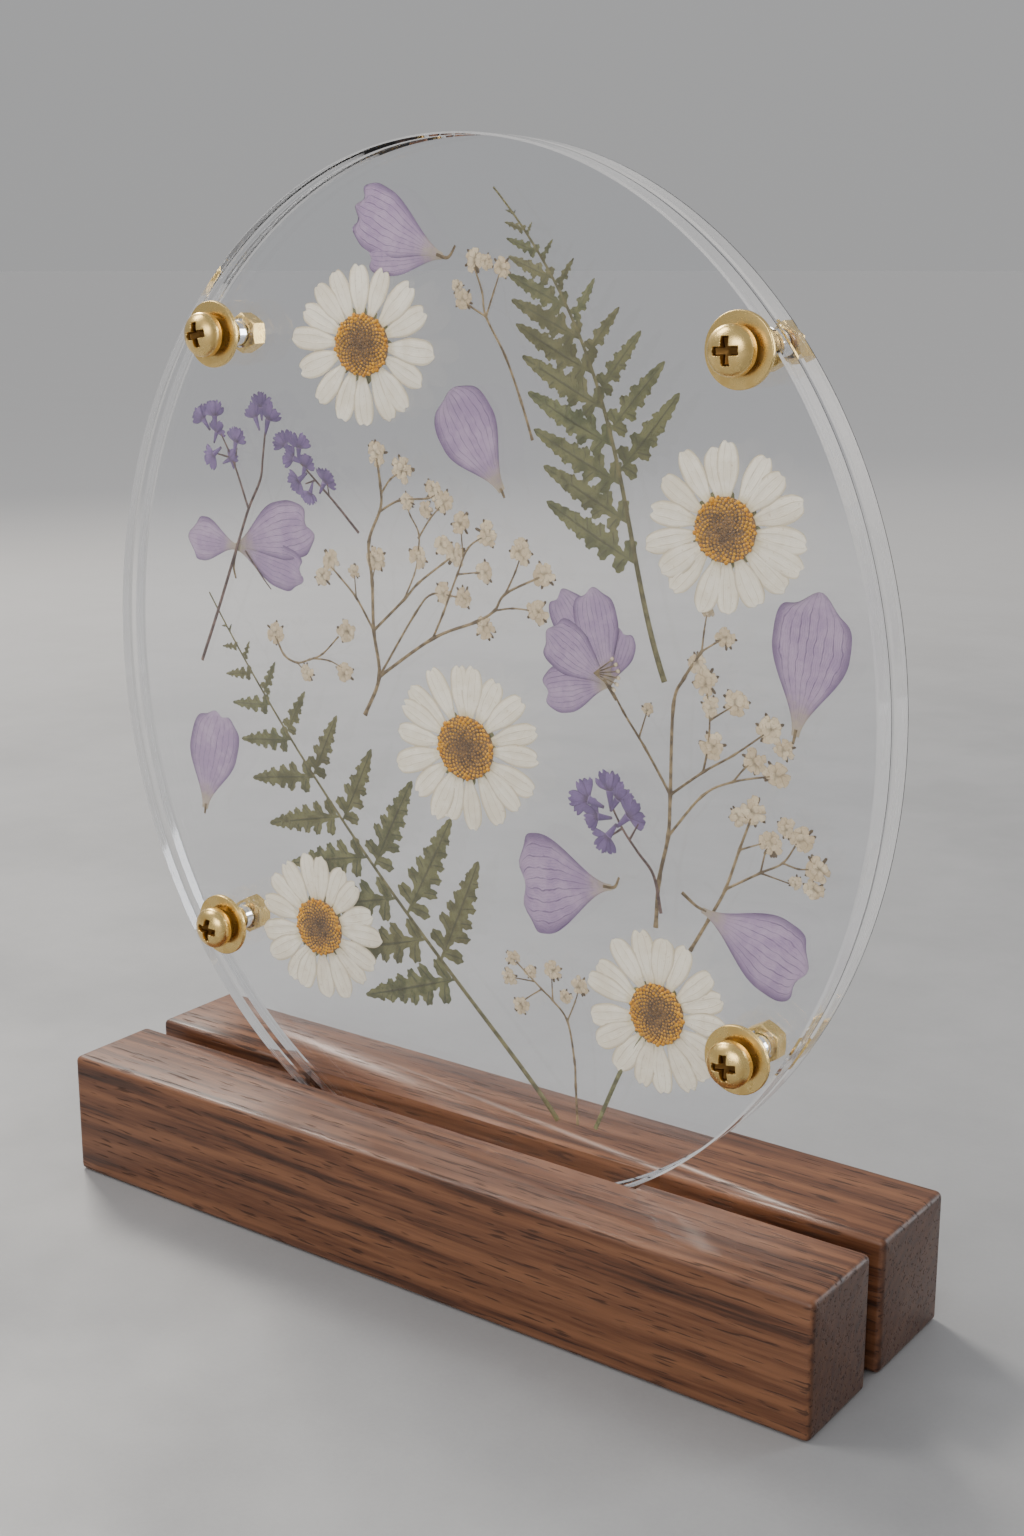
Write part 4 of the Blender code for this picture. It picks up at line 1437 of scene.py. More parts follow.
@dataclass
class Daisy:
    """A pressed daisy: ray petals round a beaded eye, with bracts behind. In millimetres."""

    node: str
    centre: Point
    half_width: float
    half_height: float
    petals: int
    seed: int
    stalk: tuple[Point, ...] = ()
    eye_share: float = 0.36
    beads: int = 240

    def bead(self) -> Surface:
        """One small dome: rings of six round an axis to the front, closed by a fan."""
        rise = np.radians([0, 40, 72])[:, None]
        return revolved(np.cos(rise) * np.ones((1, 6)) / MM, np.sin(rise) / MM,
                        Vector((0, 0, 0)), Ends.FANS, finish=1)

    def eye(self, plane: PlatePlane, depth: float) -> list[Surface]:
        """The eye: beads on a sunflower spiral over a low dome.

        The k-th bead turns by the golden angle and lies at a radius that goes with k to the power
        0.57, so the beads are packed a little closer in the middle. They grow towards the rim.

        Args:
            plane: The plane that the flower lies in.
            depth: The Y of its petals.

        Returns:
            The dome and the beads.
        """
        reach_x, reach_z = self.half_width * self.eye_share, self.half_height * self.eye_share
        rng = np.random.default_rng(self.seed + 50)
        share = ((np.arange(self.beads) + 0.5) / self.beads) ** 0.57
        turn = np.arange(self.beads) * GOLDEN_TURN
        x = self.centre[0] + share * reach_x * np.cos(turn)
        z = self.centre[1] + share * reach_z * np.sin(turn)
        swell = 0.17 + 0.19 * share ** 2
        dome = 0.20 * (1 - share ** 2) - 0.16 * np.exp(-(share / 0.22) ** 2)
        centres = plane.points(x, 0.18 + dome, z, depth)
        jitter = 1 + 0.22 * rng.standard_normal(self.beads) * share
        tones = np.clip(share + 0.09 * rng.standard_normal(self.beads), 0, 1)
        beads = stamped(self.bead(), centres, swell * jitter * 1.25 * MM, tones)
        rim = np.linspace(0.05, 1.0, 8)[:, None]
        turn = np.linspace(0, 2 * math.pi, 40, endpoint=False)[None]
        hill = plane.points(self.centre[0] + rim * reach_x * np.cos(turn),
                            0.14 + 0.16 * (1 - rim ** 2),
                            self.centre[1] + rim * reach_z * np.sin(turn), depth)
        under = hill[::-1].copy()
        under[..., 1] = depth + 0.16 * MM
        base = skin(np.concatenate([hill, under]), Ends.FANS,
                    np.concatenate([rim, rim[::-1]]) * 0.22 * np.ones((1, 40)), 1)
        return [base, beads]

    def build(self, plane: PlatePlane) -> None:
        """Makes the flower as one piece.

        Args:
            plane: The plane that it lies in.
        """
        rng = np.random.default_rng(self.seed)
        depth = plane.depth(0.27)
        parts: list[Surface] = []
        inner = self.eye_share * 0.82
        for number in range(self.petals):
            turn = 2 * math.pi * (number + 0.22 * rng.uniform(-1, 1)) / self.petals
            reach = 1 / math.hypot(math.cos(turn) / self.half_width,
                                   math.sin(turn) / self.half_height)
            reach *= 1 - 0.09 * rng.uniform(0, 1)
            start = inner * self.half_width
            root = (self.centre[0] + start * math.cos(turn),
                    self.centre[1] + start * self.half_height / self.half_width
                    * math.sin(turn))
            shape = BladeShape(length=reach - start, half_width=rng.uniform(2.5, 2.95),
                               root_width=0.30, widest=0.56, blunt=rng.uniform(0.30, 0.60),
                               scallop=0.018, scallops=rng.choice([2.0, 3.0]),
                               notch=rng.uniform(0.0, 0.07), bend=rng.uniform(-0.05, 0.05),
                               cup=0.05, wave=0.05, ridge=0.07,
                               phase=rng.uniform(0, 2 * math.pi))
            level = depth + (0.09 if number % 2 else -0.03) * MM + rng.uniform(0, 0.05) * MM
            parts.append(shape.sheet(Seat(plane, root, turn, level), 0.05, 18, 11,
                                     tone=rng.uniform(0.0, 0.35)))
        parts += self.eye(plane, depth)
        parts += self.bracts(plane, depth, rng)
        if self.stalk:
            line = smooth_line(self.stalk)
            width = np.interp(np.linspace(0, 1, len(line)), [0, 0.1, 1], [0.8, 0.55, 0.5])
            parts.append(stem_skin(plane, line, width, depth + 0.24 * MM, 0.22, 10, finish=2))
        make_piece(f"{self.node}_flower", parts, [IVORY, BEADS, BRACT], [self.node])

    def bracts(self, plane: PlatePlane, depth: float,
               rng: np.random.Generator) -> list[Surface]:
        """Two rows of green bracts behind the eye.

        Args:
            plane: The plane that the flower lies in.
            depth: The Y of its petals.
            rng: The flower's own random numbers.

        Returns:
            The bracts.
        """
        reach = self.eye_share * self.half_width
        blades = []
        for number in range(26):
            turn = 2 * math.pi * (number + 0.3 * rng.uniform()) / 13
            outer = number < 13
            start = reach * (0.42 if outer else 0.12)
            root = (self.centre[0] + start * math.cos(turn),
                    self.centre[1] + start * math.sin(turn))
            shape = BladeShape(length=reach * (0.72 if outer else 0.55),
                               half_width=reach * 0.16, blunt=0.35, cup=-0.03, wave=0.0)
            level = depth + (0.20 if outer else 0.26) * MM
            blades.append(shape.sheet(Seat(plane, root, turn, level), 0.05, 7, 5,
                                      rng.uniform(0, 0.5), 2))
        return blades


# ------------------------------------------------------------------------------ fern fronds

@dataclass(frozen=True)
class LeafletRow:
    """Leaflets up one side of a frond, in millimetres, with headings in degrees from +X."""

    start: float
    count: int
    longest: float
    power: float
    foot_heading: float
    tip_heading: float
    seed: int
    closing: float


@dataclass
class FernFrond:
    """A frond: a rachis along a Bezier line, with lobed leaflets that shorten to the tip."""

    node: str
    ends: tuple[Point, Point, Point, Point]
    left: LeafletRow
    right: LeafletRow
    web_share: float = 0.085
    lobe_share: float = 0.19
    slant: float = math.radians(52)

    def rachis(self, t: Array) -> tuple[Array, Array]:
        """Places and directions on the rachis.

        Args:
            t: Shares of the way from its foot to its tip.

        Returns:
            Places and unit directions, each shaped samples by 2.
        """
        a, b, c, d = (np.array(p, float) for p in self.ends)
        t = np.asarray(t, float)[:, None]
        s = 1 - t
        place = s ** 3 * a + 3 * s * s * t * b + 3 * s * t * t * c + t ** 3 * d
        way = 3 * s * s * (b - a) + 6 * s * t * (c - b) + 3 * t * t * (d - c)
        return place, way / np.linalg.norm(way, axis=1, keepdims=True)

    def leaflet(self, plane: PlatePlane, root: Array, heading: float, length: float,
                depth: float, rng: np.random.Generator) -> list[Surface]:
        """One leaflet: a narrow web along its midrib, and pairs of toothed lobes beside it.

        The lobes leave the midrib at places that close up towards the tip. They slant forward,
        and they shorten with the share of the length that is left, to the power 0.72.

        Args:
            plane: The plane that it lies in.
            root: Where it leaves the rachis.
            heading: Its direction.
            length: Its length in millimetres.
            depth: The Y that it lies at.
            rng: The frond's own random numbers.

        Returns:
            Its web and lobes.
        """
        way = np.array([math.cos(heading), math.sin(heading)])
        tone = rng.uniform(0, 0.5)
        bend = rng.uniform(-0.04, 0.04)
        pairs = max(3, round(2.6 + length * 0.13))
        web = BladeShape(length, self.web_share * length, 0.14, 0.42, 0.0, bend=bend,
                         cup=0.05, wave=0.05, teeth=0.14, tooth_count=pairs * 2.2,
                         phase=rng.uniform(0, 6))
        seat = Seat(plane, (float(root[0]), float(root[1])), heading, depth)
        blades = [web.sheet(seat, 0.05, 40, 7, tone)]
        for number in range(2 * pairs):
            pair, side = divmod(number, 2)
            sign = 1 if side else -1
            share = 0.07 + 0.80 * (1 - (1 - (pair + 0.28 * side) / pairs) ** 1.2)
            reach = self.lobe_share * length * (1 - share) ** 0.72
            spacing = 0.80 * length / pairs * (1 - pair / pairs) ** 0.2
            foot = root + way * share * length + bend * length * share ** 2 * np.array(
                [-way[1], way[0]])
            slant = self.slant + (0.22 if pair == 0 else 0.0) + rng.uniform(-0.06, 0.06)
            lobe = BladeShape(reach / math.sin(slant), 0.47 * spacing * math.sin(slant) + 0.1,
                              0.60, 0.60, 0.45, scallop=0.06, scallops=2.0,
                              bend=0.10 * sign, cup=0.05, wave=0.05, teeth=0.12,
                              tooth_count=2.4, phase=rng.uniform(0, 6))
            blades.append(lobe.sheet(
                Seat(plane, (float(foot[0]), float(foot[1])), heading + sign * slant,
                     depth + 0.01 * MM * (1 + side)), 0.05, 13, 7,
                float(np.clip(tone + rng.uniform(-0.1, 0.1), 0, 1))))
        return blades

    def row(self, plane: PlatePlane, row: LeafletRow, depth: float) -> list[Surface]:
        """All the leaflets up one side.

        Args:
            plane: The plane that they lie in.
            row: Their sizes and headings.
            depth: The Y that they lie at.

        Returns:
            The leaflets.
        """
        rng = np.random.default_rng(row.seed)
        share = 1 - (1 - np.arange(row.count) / row.count) ** row.closing
        places, _ = self.rachis(row.start + (0.97 - row.start) * share)
        blades = []
        for u, place in zip(share, places):
            length = row.longest * (1 - u ** row.power) * rng.uniform(0.95, 1.04)
            turn = row.foot_heading + u * (row.tip_heading - row.foot_heading)
            heading = math.radians(turn + rng.uniform(-2.5, 2.5))
            blades += self.leaflet(plane, place, heading, length,
                                   depth + rng.uniform(-0.02, 0.02) * MM, rng)
        return blades

    def build(self, plane: PlatePlane) -> None:
        """Makes the frond as one piece.

        Args:
            plane: The plane that it lies in.
        """
        depth = plane.depth(0.70)
        line, _ = self.rachis(np.linspace(0, 1, 90))
        width = np.linspace(0.72, 0.22, 90)
        parts = [stem_skin(plane, line, width, depth, 0.32, 10, finish=1)]
        parts += self.row(plane, self.left, depth)
        parts += self.row(plane, self.right, depth + 0.05 * MM)
        make_piece(f"{self.node}_frond", parts, [FROND, RACHIS], [self.node])


# ------------------------------------------------------------------------------ dried sprays

@dataclass(frozen=True)
class Twig:
    """One stem of a spray: its points in plate millimetres, and its radius at the foot."""

    knots: tuple[Point, ...]
    radius: float = 0.3


@dataclass
class Gypsophila:
    """A branching dried spray with a tight cream head at the end of each twig."""

    node: str
    twigs: tuple[Twig, ...]
    heads: tuple[tuple[float, float, float], ...]
    seed: int
    layer: float = 0.72
    head_scale: float = 1.12

    def head(self, plane: PlatePlane, x: float, z: float, radius: float, depth: float,
             rng: np.random.Generator) -> list[Surface]:
        """One head: short crinkled petals on a spiral, with small dark sepals under them.

        Args:
            plane: The plane that it lies in.
            x: Its middle, in plate millimetres.
            z: The same, upwards.
            radius: Its radius.
            depth: The Y that it lies at.
            rng: The spray's own random numbers.

        Returns:
            Its petals and sepals.
        """
        petals = 17
        share = np.sqrt((np.arange(petals) + 0.6) / petals)
        turns = np.arange(petals) * GOLDEN_TURN + rng.uniform(0, 6)
        parts = []
        for s, turn in zip(share[::-1], turns):
            start = radius * (0.62 * s - 0.30)
            root = (x + start * math.cos(turn), z + start * math.sin(turn))
            shape = BladeShape(length=radius * rng.uniform(0.5, 0.74), blunt=0.8, widest=0.7,
                               half_width=radius * rng.uniform(0.22, 0.32), root_width=0.4,
                               scallop=0.10, scallops=2.0, cup=0.10, wave=0.08,
                               phase=rng.uniform(0, 6))
            level = depth + (0.22 * s - 0.16) * MM
            parts.append(shape.sheet(Seat(plane, root, turn + rng.uniform(-0.5, 0.5), level),
                                     0.06, 5, 4, rng.uniform(0, 0.7), 1))
        for turn in rng.uniform(0, 2 * math.pi, 4):
            root = (x + 0.3 * radius * math.cos(turn), z + 0.3 * radius * math.sin(turn))
            shape = BladeShape(length=radius * 0.75, half_width=radius * 0.12, blunt=0.3)
            parts.append(shape.sheet(Seat(plane, root, turn, depth + 0.14 * MM), 0.05, 4, 3,
                                     0.9, 0))
        return parts

    def build(self, plane: PlatePlane) -> None:
        """Makes the spray as one piece.

        Args:
            plane: The plane that it lies in.
        """
        rng = np.random.default_rng(self.seed)
        depth = plane.depth(self.layer)
        parts: list[Surface] = []
        for number, twig in enumerate(self.twigs):
            line = smooth_line(twig.knots, 6)
            share = np.linspace(0, 1, len(line))
            knobs = 1 + 0.35 * np.exp(-(((share * (len(twig.knots) - 1)) % 1.0 - 0.02) / 0.06) ** 2)
            radius = twig.radius * (1 - 0.35 * share) * knobs
            parts.append(stem_skin(plane, line, radius, depth + 0.01 * (number % 4) * MM, 0.5, 7,
                                   np.clip(knobs - 1, 0, 1), 0))
        for x, z, radius in self.heads:
            parts += self.head(plane, x, z, self.head_scale * radius, depth, rng)
        make_piece(f"{self.node}_spray", parts, [STRAW, CREAM], [self.node])


# ------------------------------------------------------------------------------ larkspur

@dataclass(frozen=True)
class Floret:
    """One violet floret: its middle in plate millimetres, its heading in degrees, its size."""

    x: float
    z: float
    heading: float
    size: float = 4.2


@dataclass
class Larkspur:
    """A sprig of violet florets: a thin dark stem, short stalks and fluted, lobed flowers."""

    node: str
    twigs: tuple[Twig, ...]
    florets: tuple[Floret, ...]
    seed: int
    slot: str = "violet_floret"
    layer: float = 0.27

    def floret(self, plane: PlatePlane, floret: Floret, depth: float,
               rng: np.random.Generator) -> list[Surface]:
        """Five lobed petals fanned about the heading, and a narrow tube behind them.

        Args:
            plane: The plane that it lies in.
            floret: Its place, heading and size.
            depth: The Y that it lies at.
            rng: The sprig's own random numbers.

        Returns:
            Its petals and tube.
        """
        parts = []
        ahead = math.radians(floret.heading)
        size = floret.size
        root = (floret.x - 0.35 * size * math.cos(ahead), floret.z - 0.35 * size * math.sin(ahead))
        foot = (floret.x - 1.15 * size * math.cos(ahead), floret.z - 1.15 * size * math.sin(ahead))
        line = smooth_line((foot, root), 6)
        parts.append(stem_skin(plane, line, np.linspace(0.07, 0.20, len(line)) * size, depth,
                               0.3, 8, 0.7, 1))
        for number, spread in enumerate((-62, 58, -30, 30, 0)):
            turn = ahead + math.radians(spread + rng.uniform(-9, 9))
            shape = BladeShape(length=size * rng.uniform(0.80, 1.0), widest=0.68, blunt=0.72,
                               half_width=size * rng.uniform(0.19, 0.28), root_width=0.35,
                               scallop=0.05, scallops=2.0,
                               notch=rng.uniform(0.1, 0.24), bend=rng.uniform(-0.16, 0.16),
                               cup=0.06, wave=0.05, ridge=0.03, phase=rng.uniform(0, 6))
            parts.append(shape.sheet(Seat(plane, root, turn, depth + (0.10 - 0.05 * number) * MM),
                                     0.05, 12, 9, rng.uniform(0, 0.8), 1))
        return parts

    def build(self, plane: PlatePlane) -> None:
        """Makes the sprig as one piece.

        Args:
            plane: The plane that it lies in.
        """
        rng = np.random.default_rng(self.seed)
        depth = plane.depth(self.layer)
        parts = []
        for twig in self.twigs:
            line = smooth_line(twig.knots, 6)
            radius = np.linspace(twig.radius, twig.radius * 0.6, len(line))
            parts.append(stem_skin(plane, line, radius, depth + 0.06 * MM, 0.4, 8))
        for floret in self.florets:
            parts += self.floret(plane, floret, depth, rng)
        make_piece(f"{self.node}_blooms", parts, [TWIG, VIOLET], [self.node])


@dataclass
class LoosePetals:
    """Large lilac petals that lie on their own or grow from one short stalk."""

    node: str
    blades: tuple[tuple[Point, float, BladeShape], ...]
    stalk: tuple[Point, ...] = ()
    layer: float = 0.27
    stamens: Point | None = None

    def build(self, plane: PlatePlane) -> None:
        """Makes the petals as one piece.

        Args:
            plane: The plane that they lie in.
        """
        depth = plane.depth(self.layer)
        parts = []
        for number, (root, heading, shape) in enumerate(self.blades):
            seat = Seat(plane, root, math.radians(heading), depth + 0.07 * number * MM)
            parts.append(shape.sheet(seat, 0.05, 34, 25, 0.15 + 0.1 * (number % 3)))
        if self.stalk:
            line = smooth_line(self.stalk, 6)
            parts.append(stem_skin(plane, line, np.linspace(0.45, 0.28, len(line)),
                                   depth + 0.05 * MM, 0.35, 8, 0.2, 1))
        if self.stamens is not None:
            x, z = self.stamens
            for turn in np.radians(np.arange(-40, 60, 18)):
                tip = (x + 4 * math.cos(turn), z + 4 * math.sin(turn))
                parts.append(stem_skin(plane, smooth_line(((x - 1.5, z), tip), 5), 0.14,
                                       depth - 0.16 * MM, 0.5, 6, 0.0, 1))
                bead = BladeShape(1.1, 0.42, 0.7, 0.5, 0.7,  cup=0.1)
                parts.append(bead.sheet(Seat(plane, tip, turn, depth - 0.16 * MM), 0.08, 5, 4,
                                        0.0, 2))
        make_piece(f"{self.node}_petals", parts, [LILAC, STRAW, CREAM], [self.node])


# ------------------------------------------------------------------------------ the arrangement

class Arrangement:
    """Everything that lies between the plates, and where it lies."""

    daisies = (
        Daisy("daisy_top_left", (-26.5, 74.4), 20.8, 18.5, 16, 3),
        Daisy("daisy_right", (66, 41), 19.3, 18.2, 17, 11),
        Daisy("daisy_centre", (1.5, -12.5), 21.2, 20, 18, 23),
        Daisy("daisy_bottom_left", (-43, -63.3), 19.5, 19, 17, 31),
        Daisy("daisy_bottom_right", (52.5, -63.8), 18.6, 19, 17, 47,
              stalk=((51, -66), (47.5, -72), (43.5, -79), (37, -94.5))),
    )
    fronds = (
        FernFrond("fern_upper", ((52.4, 8.6), (40, 38), (44, 72), (9, 107)),
                  LeafletRow(0.26, 12, 24.5, 3.1, 154, 160, 5, 1.45),
                  LeafletRow(0.45, 9, 21.5, 1.05, 48, 62, 6, 1.45), lobe_share=0.16),
        FernFrond("fern_lower", ((26.7, -95.4), (12, -78), (-36, -44), (-76.3, 14.9)),
                  LeafletRow(0.38, 11, 28.5, 2.6, 199, 182, 7, 1.55),
                  LeafletRow(0.42, 9, 28.4, 1.7, 63, 66, 8, 1.5)),
    )
    sprays = (
        Gypsophila("gypsophila_top", (
            Twig(((19, 56), (16, 64), (12, 73), (7, 81), (6, 86), (4, 91)), 0.32),
            Twig(((7, 81), (9, 86), (10.6, 90)), 0.25), Twig(((7, 81), (3, 83), (1, 84.5)), 0.25)),
            ((4, 92.5, 2.5), (11, 91, 2.3), (1, 84.5, 2.3), (7, 92, 1.8), (-0.5, 87, 1.6)), 60),
        Gypsophila("gypsophila_large", (
            Twig(((-28, -9), (-23.6, 0.5), (-25, 11), (-25.2, 22), (-26, 31), (-22.4, 39),
                  (-22.4, 44), (-23.3, 50)), 0.5),
            Twig(((-22.3, 42), (-19.5, 45.5), (-16, 47.4)), 0.28),
            Twig(((-23, 38), (-17, 41), (-9, 42), (-6, 43.6)), 0.3),
            Twig(((-25, 11), (-30, 18), (-35, 22.5), (-38, 25)), 0.32),
            Twig(((-30, 18), (-30.4, 23.5)), 0.22), Twig(((-25.4, 22), (-24, 26.5)), 0.22),
            Twig(((-25, 11), (-16, 19), (-12, 23), (-5, 28), (-2, 30)), 0.34),
            Twig(((-16, 19), (-13, 25), (-12, 28.5)), 0.25),
            Twig(((-12, 28.5), (-11.6, 34), (-14, 38), (-15, 40.4)), 0.25),
            Twig(((-11.8, 33), (-8.5, 37.5), (-5.6, 40.4)), 0.25),
            Twig(((-23.6, 0.5), (-13, 16), (-8, 21), (-1, 21)), 0.3),
            Twig(((-23.6, 0.5), (-8, 11), (4, 16), (9, 19), (12, 23), (21, 27.4)), 0.4),
            Twig(((-8, 11), (-5, 17), (-1, 26), (2, 32), (6.4, 35)), 0.3),
            Twig(((-1, 26), (5, 27)), 0.24), Twig(((0.6, 30), (0, 36.5)), 0.22),
            Twig(((12, 23), (14.6, 28), (16, 31.6)), 0.26), Twig(((9, 19), (14, 20), (20, 20)), 0.25),
            Twig(((4, 16), (6, 14.8)), 0.22)),
            ((-23.3, 51, 2.7), (-16, 48, 2.9), (-7.6, 44, 2.4), (-4.6, 41.6, 2.6),
             (-37.6, 26, 2.5), (-40, 22, 2.4), (-30.6, 24, 1.7), (-24, 27.4, 2.8),
             (-5, 32, 2.5), (-1.6, 30.4, 2.7), (-12, 29, 2.6), (-15, 41, 2.0), (-5, 21.6, 2.4),
             (0.6, 21, 2.5), (6.4, 15, 2.7), (7, 35.4, 2.9), (6.4, 27.2, 2.5), (0, 37.4, 2.6),
             (16, 32.4, 2.8), (22, 28, 2.8), (20.4, 20, 2.8), (-9.6, 39.6, 2.0)), 61),
        Gypsophila("gypsophila_left", (
            Twig(((-54.5, 6.6), (-52, 2.4), (-48, 1), (-44, 2.2), (-40, 4), (-35, 8.6)), 0.32),
            Twig(((-43, 2.6), (-38, 2.6), (-34, 1.4)), 0.24), Twig(((-48, 1), (-45.6, -0.8)), 0.2)),
            ((-54.6, 7.4, 2.7), (-32.6, 10, 2.7), (-33.4, 0.4, 2.6), (-45, -1, 2.1)), 62, 0.27),
        Gypsophila("gypsophila_right", (
            Twig(((51.4, -44.6), (52, -34), (54, -24), (54.3, -15), (54.6, 4), (57, 10),
                  (61, 16)), 0.5),
            Twig(((61, 16), (61.4, 20), (62, 24)), 0.24), Twig(((61, 16), (64, 18), (66, 19)), 0.24),
            Twig(((54.3, -15), (48, -6), (42.5, 1), (38.6, 7)), 0.34),
            Twig(((46.4, -4), (48.2, 1.6)), 0.24),
            Twig(((54.3, -15), (62, -9), (69, -4.4), (76, 1)), 0.32),
            Twig(((54, -24), (62, -14), (69, -10), (78, -7.4)), 0.32),
            Twig(((62, -9), (63, -3.4), (63.2, 3), (62.2, 9)), 0.28),
            Twig(((63.2, 2), (69, 6)), 0.24), Twig(((69, -10), (71.4, -7), (73.6, -5)), 0.24)),
            ((66.4, 19.4, 2.3), (62.2, 24.4, 1.4), (62, 10, 2.9), (60, 13.4, 2.2),
             (63.4, 4.8, 2.3), (69.2, 6.4, 2.9), (64, -3.2, 2.9), (77, 2, 3.0), (80.4, -1.6, 2.3),
             (73.8, -4.8, 2.7), (79, -7, 2.9), (48.4, 2.4, 1.5)), 63),
        Gypsophila("gypsophila_lower_right", (
            Twig(((60, -48), (64.4, -40), (68, -33), (71, -24), (73.8, -16)), 0.42),
            Twig(((68, -33), (76, -28), (81, -25), (84, -20.4)), 0.3),
            Twig(((76, -28), (77, -23.4), (78, -21.6)), 0.24), Twig(((71, -24), (76, -21.8)), 0.24),
            Twig(((81, -25), (84.6, -25.6), (88, -25)), 0.24), Twig(((76, -28), (82.6, -29)), 0.22)),
            ((74, -15.4, 2.9), (70.6, -17, 2.2), (78.2, -21.2, 2.8), (85, -19.4, 2.9),
             (81.6, -17.6, 2.2), (88.8, -25, 2.9), (88, -29.4, 2.3), (84, -28.6, 1.6)), 64),
        Gypsophila("gypsophila_bottom", (
            Twig(((32, -95), (31.4, -86), (31, -80), (29, -71), (25, -67), (22, -65), (15, -60)),
                 0.32),
            Twig(((29, -71), (31, -66), (32, -62.6)), 0.22), Twig(((25, -67), (24.6, -60.6)), 0.22),
            Twig(((22, -65), (18, -68), (16.6, -69.6)), 0.2), Twig(((20, -63.6), (13.4, -64)), 0.2)),
            ((14, -59.4, 2.0), (24.8, -60, 2.4), (13, -64, 2.0), (16.4, -70, 2.2),
             (32.2, -62, 2.2), (28.4, -65.4, 1.7), (19, -61.6, 1.7)), 65),
    )
    sprigs = (
        Larkspur("larkspur_sprig", (
            Twig(((-79, -2), (-73, 11), (-66, 27), (-62, 36), (-58, 43), (-57, 48), (-56, 54)),
                 0.48),
            Twig(((-62, 36), (-66, 46), (-70, 53)), 0.36), Twig(((-67, 47.6), (-72, 48.4)), 0.28),
            Twig(((-66, 46), (-65, 50)), 0.26), Twig(((-63.5, 26), (-58, 20), (-55.6, 17.6)), 0.26)),
            (Floret(-54.6, 58.4, 75, 4.4), Floret(-59.4, 58.6, 112, 4.0), Floret(-57, 61, 92, 3.8),
             Floret(-72, 58.6, 95, 4.4), Floret(-76.4, 57.2, 130, 4.0), Floret(-65, 52.6, 75, 3.8),
             Floret(-73.6, 47.4, 215, 3.8), Floret(-66.6, 47.6, 25, 3.0),
             Floret(-71, 54.4, 70, 3.4)), 70),
        Larkspur("larkspur_side_sprig", (
            Twig(((-28.4, 33), (-35, 39), (-41, 44), (-47, 49)), 0.36),
            Twig(((-41, 44), (-44, 43)), 0.26), Twig(((-37, 40.8), (-37.4, 43.4)), 0.24)),
            (Floret(-51, 52.4, 140, 4.2), Floret(-45.6, 52.4, 85, 4.0), Floret(-48.6, 49, 160, 3.6),
             Floret(-43.6, 48, 70, 3.6), Floret(-47, 43, 215, 3.8), Floret(-37.6, 44.8, 60, 3.8),
             Floret(-43, 40, 250, 3.4)), 71),
        Larkspur("larkspur_small", (
            Twig(((53, -41), (51, -33), (47, -28.6), (43, -24), (39.6, -18.4)), 0.42),
            Twig(((43, -24), (39.6, -26.6)), 0.3), Twig(((45, -26), (47, -22.4)), 0.3)),
            (Floret(39.6, -14.6, 95, 5.0), Floret(45.6, -20, 45, 4.8), Floret(38.6, -27.6, 235, 4.6),
             Floret(32.6, -18.6, 165, 5.2), Floret(35.4, -22.6, 185, 4.4),
             Floret(42.4, -16.6, 60, 4.2)), 72),
    )
